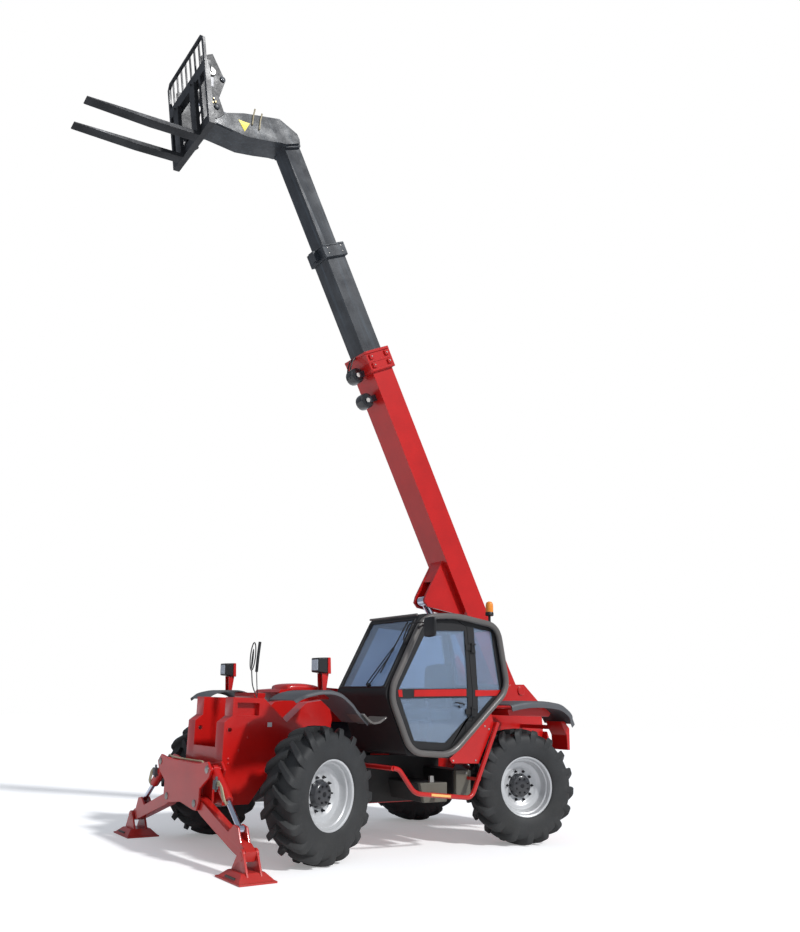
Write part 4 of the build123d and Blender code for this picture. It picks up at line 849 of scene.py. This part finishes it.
# Mirrors: a padded head on the cab's arm, and a ring with a blade on two stalks over the front
mirror = {
    "middle": (1.732, 1.40, 2.235), "size": (0.21, 0.175, 0.05), "power": 3.2, "swell": 0.3,
    "arm": [(1.735, 1.330, 2.285), (1.745, 1.215, 2.292), (1.800, 1.150, 2.285), (1.862, 1.128, 2.110),
            (1.800, 1.115, 2.060)],
    "stay": [(1.735, 1.330, 2.265), (1.728, 1.270, 2.255), (1.700, 1.186, 2.250)], "pivot": (1.700, 1.184, 2.250),
    "oval": (3.110, 0.240, 1.895), "ovalWide": (-0.020, 0.015, 0.0), "ovalHigh": (-0.008, 0.0, 0.140),
    "glass": (3.112, 0.238, 1.870), "glassSize": (0.010, 0.105), "glassFacing": ((-0.8, 0.6, 0), (-0.06, 0, 1)),
    "blade": [(3.078, 0.275, 1.74), (3.066, 0.268, 1.90), (3.050, 0.262, 2.045)],
    "ovalStalk": [(3.072, 0.310, 1.478), (3.110, 0.262, 1.60), (3.116, 0.240, 1.755)],
    "bladeStalk": [(3.072, 0.310, 1.50), (3.078, 0.290, 1.66), (3.078, 0.276, 1.755)],
    # Radii of the tubes, and the thickness of the glass
    "armTube": 0.008, "stayTube": 0.010, "ovalTube": 0.006, "glassThick": 0.008, "bladeTube": 0.015,
    "ovalStalkTube": 0.006, "bladeStalkTube": 0.005,
}
headShape = moved(cushion(*mirror["size"], mirror["power"], mirror["swell"]),
                  Matrix.Translation(mirror["middle"]) @ Matrix.Rotation(math.radians(90), 4, "Y"))
addPiece("cabMirror", joined(
    headShape, pipe(mirror["arm"], mirror["armTube"], 0.04, (0, 0, 1), 12),
    pipe(mirror["stay"], mirror["stayTube"], 0.03, (0, 0, 1), 12), pinHead("mirror", mirror["pivot"], low=-0.004)),
    "chassis", "blackTrim", stands=["mirrors"], smooth=50)
turn = 2 * math.pi * np.arange(48)[:, None] / 48
ovalPath = np.array([mirror["oval"]]) + np.cos(turn) * [mirror["ovalWide"]] + np.sin(turn) * [mirror["ovalHigh"]]
glassLine = np.hstack([np.cos(turn), np.sin(turn)]) * mirror["glassSize"]
addPiece("frontMirror", joined(
    carried(circle(mirror["ovalTube"], 10), ovalPath, (1, 0, 0), closed=True),
    slab(glassLine, mirror["glass"], *mirror["glassFacing"], mirror["glassThick"]),
    pipe(mirror["blade"], mirror["bladeTube"], count=12),
    pipe(mirror["ovalStalk"], mirror["ovalStalkTube"]), pipe(mirror["bladeStalk"], mirror["bladeStalkTube"])),
    "chassis", "blackTrim", stands=["mirrors"])

beacon = {"place": (0.555, 1.06, 0),
          "Base": [(0.014, 2.400), (0.014, 2.476), (0.040, 2.478), (0.0465, 2.484), (0.0465, 2.512), (0.043, 2.520)],
          "Dome": [(0.0425, 2.514), (0.0430, 2.530), (0.0425, 2.590), (0.0400, 2.615), (0.0330, 2.632),
                   (0.0200, 2.641), (0.0060, 2.6428)]}
for part, finish in (("Base", "blackTrim"), ("Dome", "amberLens")):
    addPiece("beacon" + part, turned(beacon[part], beacon["place"], count=40), "chassis", finish, stands=["beacon"])

# Side step: bent round tube and its two cross tubes, the triangular panel and an amber strip
step = {
    "tube": 0.024, "path": [(1.985, 1.150, 0.850), (1.905, 1.150, 0.835), (1.700, 1.150, 0.600), (0.930, 1.150, 0.530),
                            (0.535, 1.150, 1.300)],
    "crossTubes": [[(1.985, 0.42, 0.845), (1.985, 1.160, 0.845)], [(0.545, 0.98, 1.285), (0.545, 1.160, 1.285)]],
    "stays": [((1.275, 0.975, 0.545), (1.330, 1.150, 0.575)), ((0.795, 0.975, 0.700), (0.835, 1.150, 0.730))],
    "panel": ([(1.205, 0.927), (1.175, 0.880), (0.795, 0.872), (0.560, 1.280), (0.606, 1.425)], 1.112, 0.016),
    "strip": ([(1.24, 0.5475), (1.50, 0.5715), (1.50, 0.5965), (1.24, 0.5725)], 1.172, 0.008),
    "bolts": [(1.160, 0.905), (0.840, 0.905), (0.640, 1.230), (0.700, 1.260)], "boltY": 1.119, "bend": 0.08,
}
addPiece("stepTube", joined(
    pipe(step["path"], step["tube"], step["bend"], count=20),
    *[pipe(run, step["tube"], side=(0, 0, 1), count=20) for run in step["crossTubes"]],
    *[brick(*stay) for stay in step["stays"]]), "chassis", "redPaint", stands=["side_step"])
addPiece("stepPanel", sideSlab(*step["panel"]), "chassis", "redPaint", bevel=0.003, stands=["side_step"])
addPiece("stepStrip", sideSlab(*step["strip"]), "chassis", "stripAmber", bevel=0.001)
addPiece("panelBolts", joined(*[pinHead("bolt", (x, step["boltY"], z)) for x, z in step["bolts"]]),
         "chassis", "zincSteel")

# Boxes under the cab: a black body with a grey outer cover, and the panel behind them, a black sheet that is partly a
# real panel and partly painted shade under the cab
boxes = {
    "shapes": ([(1.488, 0.678), (1.430, 0.482), (1.115, 0.482), (1.112, 0.678)],
               [(0.988, 0.798), (0.988, 0.522), (0.775, 0.522), (0.772, 0.798)]),
    "inner": 0.425, "split": 0.930, "outer": 0.979,
    "sill": ([(2.00, 0.925), (0.760, 0.925), (0.760, 0.440), (1.980, 0.440)], 0.429, 0.016),
    "catch": (0.845, 0.977, 0.765),
    "neck": ([(1.275, 0.678), (1.335, 0.678), (1.330, 0.745), (1.285, 0.745)], 0.94, 0.03),
}
for name, finish, near, far in (("underBoxes", "cabBlack", "inner", "split"),
                                ("boxCovers", "boxGrey", "split", "outer")):
    middle, deep = (boxes[near] + boxes[far]) / 2, boxes[far] - boxes[near]
    addPiece(name, joined(*[sideSlab(shape, middle, deep) for shape in boxes["shapes"]]), "chassis", finish,
             bevel=0.012, segments=3, stands=["service_boxes"])
# Sill panel: partly a real black panel, partly painted shade, a black sheet set where the space under the cab lies in
# shadow
addPiece("sillPanel", sideSlab(*boxes["sill"]), "chassis", "cabBlack", bevel=0.004)
addPiece("boxFittings", joined(pinHead("catch", boxes["catch"]), sideSlab(*boxes["neck"])), "chassis", "zincSteel",
         bevel=0.003)
print("outer fittings made")

# Boom coordinates: s along the boom from its pin, y across, t square to the boom
boom = {"x": -0.720, "z": 1.690, "angle": 61.0, "axis": -0.079}
alongBoom = np.array([math.cos(math.radians(boom["angle"])), 0, math.sin(math.radians(boom["angle"]))])
upBoom = np.array([-alongBoom[2], 0, alongBoom[0]])


def inFrame(shape, origin, along, up):
    points, faces = shape
    across = np.array([0, 1.0, 0])
    return np.array(origin) + points[:, :1] * along + points[:, 1:2] * across + points[:, 2:] * up, faces


def onBoom(*shapes):
    return inFrame(joined(*shapes), (boom["x"], 0, boom["z"]), alongBoom, upBoom)


# A band round a box tube: the outer and inner rectangles with cut corners, between two places along the boom
def band(start, end, width, height, thick, corner=0.012, clear=0.0005):
    def ring(s, w, h, c):
        flat = [(w - c, h), (w, h - c), (w, c - h), (w - c, -h), (c - w, -h), (-w, c - h), (-w, h - c), (c - w, h)]
        return [(s, y, boom["axis"] + t) for y, t in flat]
    w, h = width / 2, height / 2
    loops = [ring(start, w + clear, h + clear, corner), ring(start, w + thick, h + thick, corner + thick),
             ring(end, w + thick, h + thick, corner + thick), ring(end, w + clear, h + clear, corner)]
    return gridShape(np.array(loops), closedAlong=True)


# Bolts on both sides of a collar, sunk a little so that no gap shows
def boltsOnSides(kind, along, heights, face):
    return [pinHead(kind, (s, side * face, t), (0, side, 0), -0.002)
            for s in along for side in (1, -1) for t in heights]


for node, finish, width in (("boom_base", "redPaint", 0.006), ("boom_mid", "boomBlack", 0.005),
                            ("boom_inner", "boomBlack", 0.005)):
    softened(node, finish, width)

collar = {
    "size": (0.429, 0.401), "ribs": [(4.448, 4.474, 0.010), (4.676, 4.704, 0.014), (4.560, 4.580, 0.006)],
    "lugS": (4.52, 4.63), "lugT": (0.05, -0.21), "lugHalf": 0.03, "face": 0.2145, "lugFace": 0.236,
    "topY": (-0.12, 0.12), "topHalf": (0.025, 0.04), "top": (0.1215, 0.145), "topBolts": (-0.14, -0.10, 0.10, 0.14),
}
half = collar["lugHalf"]
ribs = [band(start, end, *collar["size"], thick) for start, end, thick in collar["ribs"]]
sideLugs = [brick((s - half, side * collar["face"], t - half), (s + half, side * collar["lugFace"], t + half))
            for s in collar["lugS"] for side in (1, -1) for t in collar["lugT"]]
halfS, halfY = collar["topHalf"]
topLugs = [brick((s - halfS, y - halfY, collar["top"][0]), (s + halfS, y + halfY, collar["top"][1]))
           for s in collar["lugS"] for y in collar["topY"]]
addPiece("collarRibs", onBoom(*ribs, *sideLugs, *topLugs), "boom", "redPaint", bevel=0.003)
sideBolts = boltsOnSides("collarBolt", collar["lugS"], collar["lugT"], collar["lugFace"])
topBolts = [pinHead("collarBolt", (s, y, collar["top"][1]), (0, 0, 1), -0.002)
            for s in collar["lugS"] for y in collar["topBolts"]]
addPiece("collarBolts", onBoom(*sideBolts, *topBolts), "boom", "zincSteel")

# Drums under the collar, each a rounded wheel on its arm, and the hoses over the collar to the first one
drums = {
    "places": [(4.48, -0.389), (4.15, -0.389)],
    "hub": [(0.028, -0.080), (0.030, -0.060), (0.030, 0.060), (0.028, 0.080)],
    "wheel": [(0.030, -0.066), (0.082, -0.066), (0.0945, -0.056), (0.0975, -0.040), (0.0975, 0.040), (0.0945, 0.056),
              (0.082, 0.066), (0.030, 0.066)],
    "hose": [(4.47, -0.485), (4.58, -0.44), (4.690, -0.34), (4.695, -0.255)], "hoseY": (-0.03, 0.03),
    "hoseRadius": 0.010, "hoseBend": 0.06,
}
for name, part, count, finish in (("drumWheels", "wheel", 48, "glossBlack"), ("drumHubs", "hub", 32, "zincSteel")):
    addPiece(name, onBoom(*[turned(drums[part], (s, 0, t), (0, 1, 0), count) for s, t in drums["places"]]),
             "boom", finish)
collarHoses = [pipe([(s, y, t) for s, t in drums["hose"]], drums["hoseRadius"], drums["hoseBend"])
               for y in drums["hoseY"]]
addPiece("collarHoses", onBoom(*collarHoses), "boom", "blackTrim")

middleCollar = {"ribs": [(5.948, 5.966, 0.006), (6.086, 6.104, 0.008)], "size": (0.343, 0.359),
                "block": ((5.97, -0.05, -0.330), (6.09, 0.05, -0.2575)), "boltS": (5.99, 6.06), "boltT": (0.03, -0.19),
                "face": 0.1715}
middleBands = [band(start, end, *middleCollar["size"], thick) for start, end, thick in middleCollar["ribs"]]
addPiece("middleRibs", onBoom(*middleBands, brick(*middleCollar["block"])), "boom_mid", "boomBlack", bevel=0.003)
middleBolts = boltsOnSides("middleBolt", middleCollar["boltS"], middleCollar["boltT"], middleCollar["face"])
addPiece("middleBolts", onBoom(*middleBolts), "boom_mid", "zincSteel")

# Boom head: blank warning triangle, two capped hose ends, the floor of the neck and the carriage pin's heads
head = {
    "triangle": ([(3.680, 8.062), (3.530, 8.082), (3.588, 7.942)], 0.1715, 0.003), "pivot": (4.0322, 7.9180),
    "cheek": 0.1705, "hoseEnds": [[(3.500, 0.179, 8.080), (3.496, 0.180, 8.200), (3.480, 0.180, 8.300)],
                                  [(3.405, 0.179, 8.060), (3.401, 0.180, 8.180), (3.385, 0.180, 8.285)]],
    "hoseRadius": 0.009, "hoseBend": 0.03, "floorFrom": (7.580, 0, -0.879), "floorTo": (7.680, 0, -1.079),
    "floorHalf": 0.1445, "floorThick": 0.012,
}
addPiece("warningTriangle", sideSlab(*head["triangle"]), "boom_inner", "signYellow")
addPiece("hoseEnds", joined(*[pipe(end, head["hoseRadius"], head["hoseBend"]) for end in head["hoseEnds"]]),
         "boom_inner", "hoseCream")
half, run = head["floorHalf"], np.subtract(head["floorTo"], head["floorFrom"])
long = np.linalg.norm(run)
addPiece("neckFloor", onBoom(slab([(-half, 0), (half, 0), (half, long), (-half, long)], head["floorFrom"], (0, 1, 0),
                                  tuple(run), head["floorThick"])), "boom_inner", "boomBlack")
x, z = head["pivot"]
addPiece("headPins", bothSides(pinHead("headPin", (x, head["cheek"], z))), "boom_inner", "boomBlack")

# Carriage coordinates: u along the forks, w up the shanks, from the carriage pin
tilt = math.radians(9)
alongFork, upFork = np.array([math.cos(tilt), 0, -math.sin(tilt)]), np.array([math.sin(tilt), 0, math.cos(tilt)])


def onCarriage(*shapes):
    return inFrame(joined(*shapes), (head["pivot"][0], 0, head["pivot"][1]), alongFork, upFork)


softened("carriage", "carriageBlack", 0.004)
softened("forks", "forkSteel", 0.006)
carriage = {
    "plate": 0.355, "disc": (4.130, 8.330), "pin": (3.990, 8.300),
    "leftDisc": [(0.052, 0.0), (0.052, 0.014), (0.046, 0.020), (0.024, 0.020), (0.021, 0.030)],
    "rightDisc": [(0.052, 0.0), (0.052, 0.010), (0.046, 0.014)],
    "label": ([(4.092, 8.145), (4.162, 8.149), (4.168, 8.265), (4.098, 8.261)], 0.357, 0.003),
    "bolts": [(4.075, 8.000), (4.055, 7.965), (4.085, 7.945)],
    "hoses": [[(0.17, 0.05, 0.36), (0.10, 0.09, 0.26), (0.06, 0.12, 0.10), (0.13, 0.14, -0.02), (0.17, 0.10, 0.06)],
              [(0.17, 0.00, 0.36), (0.08, 0.02, 0.22), (0.06, 0.06, 0.05), (0.15, 0.08, -0.04)]],
    "hoseRadius": 0.009, "hoseBend": 0.09, "block": ((0.120, 0.055, 0.010), (0.180, 0.125, 0.110)),
    "hook": ((0.150, 0.170, 0.235), (0.1865, 0.280, 0.275)), "latch": ((0.235, 0.205, 0.268), (0.250, 0.245, 0.276)),
}
x, z = carriage["disc"]
addPiece("carriageDisc", joined(*[turned(carriage[disc], (x, side * carriage["plate"], z), (0, side, 0), 40)
                                  for disc, side in (("leftDisc", 1), ("rightDisc", -1))]), "carriage", "zincSteel")
addPiece("carriagePins", bothSides(*[pinHead("carriagePin", (x, carriage["plate"], z))
                                     for x, z in (carriage["pin"], head["pivot"])]), "carriage", "boomBlack")
addPiece("carriageLabel", sideSlab(*carriage["label"]), "carriage", "labelGrey", bevel=0.001)
addPiece("carriageBolts", joined(*[pinHead("carriageBolt", (x, carriage["plate"], z)) for x, z in carriage["bolts"]]),
         "carriage", "brass")
carriageHoses = [pipe(route, carriage["hoseRadius"], carriage["hoseBend"]) for route in carriage["hoses"]]
addPiece("carriageHoses", onCarriage(*carriageHoses, brick(*carriage["block"])), "carriage", "castGrey", bevel=0.006)
addPiece("forkHooks", onCarriage(bothSides(brick(*carriage["hook"]), brick(*carriage["latch"]))),
         "carriage", "forkSteel", bevel=0.004)
print("boom and carriage dressed")

# Chassis: softened weldments, bolts, rings and a blank plate on the tower
chassis = {
    "soft": {"frame_left": 0.007, "frame_right": 0.007, "stabiliser_beam": 0.005, "counterweight": 0.012,
             "leg_left": 0.005, "leg_right": 0.005, "pad_left": 0.004, "pad_right": 0.004, "engine_hood": 0.018,
             "engine_bay": 0.006, "leg_barrel_left": 0.003, "leg_barrel_right": 0.003, "lift_barrel": 0.004},
    "face": 0.42,
    "bolts": [(3.405, 0.900), (3.405, 0.860), (3.210, 1.225), (3.030, 1.225), (3.300, 0.980), (3.210, 1.100)],
    "ring": [(0.022, 0.0), (0.034, 0.0), (0.034, 0.004), (0.022, 0.004)], "ringPlace": (3.410, 0.42, 1.170),
    "plate": ([(2.950, 1.203), (3.000, 1.203), (3.000, 1.247), (2.950, 1.247)], 0.4215, 0.003),
}
for node, width in chassis["soft"].items():
    softened(node, "blackPaint" if node in nodeFinish["blackPaint"] else "redPaint", width)
addPiece("towerBolts", bothSides(*[pinHead("bolt", (x, chassis["face"], z), low=-0.002) for x, z in chassis["bolts"]]),
         "chassis", "redPaint")
addPiece("tieDownRings", bothSides(turned(chassis["ring"], chassis["ringPlace"], (0, 1, 0), 32, True)),
         "chassis", "redPaint")
addPiece("blankPlate", sideSlab(*chassis["plate"]), "chassis", "labelGrey")

# Stabilisers, worked out for the left side: the pad's sloping box, cross tube at the knuckle, pins in the ears,
# valve block and hoses on the leg's barrel
legs = {
    "x": 3.605, "footY": 1.30, "footZ": 0.20, "boxLow": (0.0155, 0.335, 0.400), "boxHigh": (0.075, 0.220, 0.240),
    "boxShift": -0.022, "slot": ((0.135, 0.028), (0.1585, 0.042)),
    "slotY": {"left": (-0.10, 0.08), "right": (-0.08, 0.10)},
    "knee": [(0.046, -0.0775), (0.050, -0.072), (0.050, -0.053), (0.030, -0.050), (0.030, 0.050), (0.050, 0.053),
             (0.050, 0.072), (0.046, 0.0775)],
    "earPins": [(0.56, 0.82), (0.33, 0.50)], "ear": 0.0795, "bore": 0.036,
    "block": ((0.700, 0.662), (0.752, 0.742)), "blockDeep": 0.045, "port": 0.012, "portOut": 0.022, "portUp": 0.03,
    "portDown": 0.02,
    # Three hoses side by side: the first one's way from the bore, and how each point moves with the others' shift
    "hoses": 3, "hoseStep": 0.017, "hoseRadius": 0.0080, "hoseBend": 0.045,
    "hosePath": [(0.022, 0.745, 0.728), (0.026, 0.800, 0.735), (0.016, 0.868, 0.590), (-0.010, 0.872, 0.565)],
    "hoseShift": [(0, 0, -1), (0, 1, -0.5), (0, 1, 0), (0, 0.4, -0.5)],
}


# A box with four sloping sides between two levels, each given as height, length and width
def slopedBox(levels, middle):
    around = np.array([(-1, -1), (1, -1), (1, 1), (-1, 1)], float) / 2
    rings = [np.column_stack([np.array(middle) + around * size, np.full(4, z)]) for z, *size in levels]
    return gridShape(np.array(rings))


def stayParts(hand):
    x, y, bore = legs["x"], legs["footY"], legs["x"] + legs["bore"]
    (slotIn, slotLow), (slotOut, slotHigh) = legs["slot"]
    near, far = legs["slotY"][hand]
    (blockNear, low), (blockFar, high) = legs["block"]
    port, shaft, middle = legs["port"], bore + legs["portOut"], (blockNear + blockFar) / 2
    path, spread = np.array(legs["hosePath"]) + (bore, 0, 0), np.array(legs["hoseShift"])
    hoses = [pipe(path + shift * spread, legs["hoseRadius"], legs["hoseBend"], (1, 0, 0), 12)
             for shift in legs["hoseStep"] * np.arange(legs["hoses"])]
    return (
        ("padBox_", slopedBox((legs["boxLow"], legs["boxHigh"]), (x, y + legs["boxShift"])), "pad_", "redPaint", 0.004),
        ("padSlot_", brick((x + slotIn, y + near, slotLow), (x + slotOut, y + far, slotHigh)),
         "pad_", "blackTrim", 0.0),
        ("kneeTube_", turned(legs["knee"], (x, y, legs["footZ"]), (1, 0, 0), 40), "leg_", "redPaint", 0.0),
        ("earPins_", joined(*[pinHead("earPin", (x + legs["ear"], pinY, pinZ), (1, 0, 0))
                              for pinY, pinZ in legs["earPins"]]), None, "zincSteel", 0.0),
        ("valveBlock_", joined(brick((bore, blockNear, low), (bore + legs["blockDeep"], blockFar, high)),
                               turned([(port, 0.0), (port, legs["portUp"])], (shaft, middle, high), (0, 0, 1), 16),
                               turned([(port, 0.0), (port, legs["portDown"])], (shaft, middle, low), (0, 0, -1), 16)),
         "leg_barrel_", "castGrey", 0.004),
        ("stayHoses_", joined(*hoses), "leg_barrel_", "hoseCream", 0.0))


for hand in ("left", "right"):
    for name, shape, body, finish, bevel in stayParts(hand):
        shape = mirrored(shape) if hand == "right" else shape
        addPiece(name + hand, shape, body + hand if body else "chassis", finish, bevel=bevel)
beam = {"hose": [(3.62, -0.50, 0.885), (3.635, -0.38, 0.875), (3.640, -0.20, 0.872), (3.635, 0.20, 0.874),
                 (3.640, 0.38, 0.880), (3.665, 0.45, 0.790)], "radius": 0.009, "bend": 0.06}
addPiece("beamHose", pipe(beam["hose"], beam["radius"], beam["bend"], (0, 0, 1), 12), "chassis", "hoseCream")

# Engine side: louvres in the hood's outer face and its hump; then the heads of the lift cylinder's and boom's pins
hood = {"face": -1.003, "deep": 0.006, "slats": 9, "from": 0.98, "to": 1.84, "low": 0.80, "high": 1.18, "slat": 0.022,
        "hump": (0.50, 0.40, 0.17, 4.5, 0.25), "humpPlace": (2.02, -0.70, 1.590)}
louvres = []
for z in np.linspace(hood["low"], hood["high"], hood["slats"]):
    top = z + hood["slat"]
    louvres.append(sideSlab([(hood["from"], z), (hood["to"], z), (hood["to"], top), (hood["from"], top)],
                            hood["face"], hood["deep"]))
addPiece("hoodLouvres", joined(*louvres), "hood", "blackTrim", bevel=0.001)
hump = moved(cushion(*hood["hump"]), Matrix.Translation(hood["humpPlace"]))
addPiece("hoodHump", hump, "hood", "redPaint", smooth=60)
pins = {"lift": (-0.640, 0.1105, 0.980), "boom": (boom["x"], 0.3305, boom["z"])}
addPiece("liftPins", bothSides(pinHead("liftPin", pins["lift"])), "chassis", "zincSteel")
addPiece("boomPinHeads", bothSides(pinHead("boomPin", pins["boom"])), "chassis", "redPaint")
print("chassis dressed")

# Camera, solved from the photograph
photoView = {"place": (6.931, 7.457, 1.414), "yaw": 34.985, "pitch": 13.057, "roll": -1.763, "focal": 782.2,
             "middle": (355.5, 526.3), "size": (800, 932), "sensor": 36}


def addCamera():
    yaw, pitch, roll = (math.radians(photoView[name]) for name in ("yaw", "pitch", "roll"))
    ahead = Vector((-math.sin(yaw) * math.cos(pitch), -math.cos(yaw) * math.cos(pitch), math.sin(pitch)))
    right = ahead.cross(Vector((0, 0, 1))).normalized()
    down = ahead.cross(right)
    turnedRight = right * math.cos(roll) + down * math.sin(roll)
    turnedDown = down * math.cos(roll) - right * math.sin(roll)
    matrix = Matrix((turnedRight, -turnedDown, -ahead)).transposed().to_4x4()
    matrix.translation = Vector(onMachine(photoView["place"]))
    longSide = max(photoView["size"])
    data = bpy.data.cameras.new("photoCamera")
    data.sensor_width = photoView["sensor"]
    data.lens = photoView["focal"] * data.sensor_width / longSide
    data.shift_x = (photoView["size"][0] / 2 - photoView["middle"][0]) / longSide
    data.shift_y = (photoView["middle"][1] - photoView["size"][1] / 2) / longSide
    camera = bpy.data.objects.new("photoCamera", data)
    camera.matrix_world = matrix
    bpy.context.scene.collection.objects.link(camera)
    bpy.context.scene.camera = camera


# Studio: a white floor in a room that the camera sees white and the object sees as a dim sky; each sun has its
# turn, strength and spread
studio = {
    "floor": 60, "floorWhite": (0.92, 0.92, 0.92, 1), "floorRough": 0.9, "floorShine": 0.1, "floorLift": 0.26,
    "sky": (0.80, 0.87, 1.0, 1), "skyStrength": 0.36,
    "suns": {"sunKey": ((50, 0, 198), 2.7, 5), "sunFill": ((62, 0, 150), 0.25, 40)},
}


def addFloor():
    around = np.array([(-1, -1, 0), (1, -1, 0), (1, 1, 0), (-1, 1, 0)], float) * studio["floor"]
    mesh = bpy.data.meshes.new("floor")
    mesh.from_pydata(around.tolist(), [], [[0, 1, 2, 3]])
    floor = bpy.data.objects.new("floor", mesh)
    bpy.context.scene.collection.objects.link(floor)
    material = bpy.data.materials.new("studioFloor")
    material.use_nodes = True
    tree = material.node_tree
    connect = linker(tree)
    shader = tree.nodes["Principled BSDF"]
    shader.inputs["Base Color"].default_value = studio["floorWhite"]
    shader.inputs["Roughness"].default_value = studio["floorRough"]
    shader.inputs["Specular IOR Level"].default_value = studio["floorShine"]
    shader.inputs["Emission Color"].default_value = (1, 1, 1, 1)
    rays = tree.nodes.new("ShaderNodeLightPath")
    lift = tree.nodes.new("ShaderNodeMath")
    lift.operation = "MULTIPLY"
    lift.inputs[1].default_value = studio["floorLift"]
    connect(rays.outputs["Is Camera Ray"], lift.inputs[0])
    connect(lift.outputs[0], shader.inputs["Emission Strength"])
    mesh.materials.append(material)


def addRoom():
    world = bpy.data.worlds.new("studioRoom")
    bpy.context.scene.world = world
    world.use_nodes = True
    tree = world.node_tree
    connect = linker(tree)
    sky = tree.nodes["Background"]
    sky.inputs["Color"].default_value = studio["sky"]
    sky.inputs["Strength"].default_value = studio["skyStrength"]
    white = tree.nodes.new("ShaderNodeBackground")
    white.inputs["Color"].default_value = (1, 1, 1, 1)
    white.inputs["Strength"].default_value = 1.0
    rays = tree.nodes.new("ShaderNodeLightPath")
    choose = tree.nodes.new("ShaderNodeMixShader")
    connect(rays.outputs["Is Camera Ray"], choose.inputs[0])
    connect(sky.outputs[0], choose.inputs[1])
    connect(white.outputs[0], choose.inputs[2])
    connect(choose.outputs[0], tree.nodes["World Output"].inputs["Surface"])
    for name, (turn, strength, spread) in studio["suns"].items():
        data = bpy.data.lights.new(name, "SUN")
        data.energy = strength
        data.angle = math.radians(spread)
        sun = bpy.data.objects.new(name, data)
        sun.rotation_euler = [math.radians(angle) for angle in turn]
        bpy.context.scene.collection.objects.link(sun)


addCamera()
addFloor()
addRoom()
bpy.context.scene.view_settings.view_transform = "Standard"
print("camera and studio set")
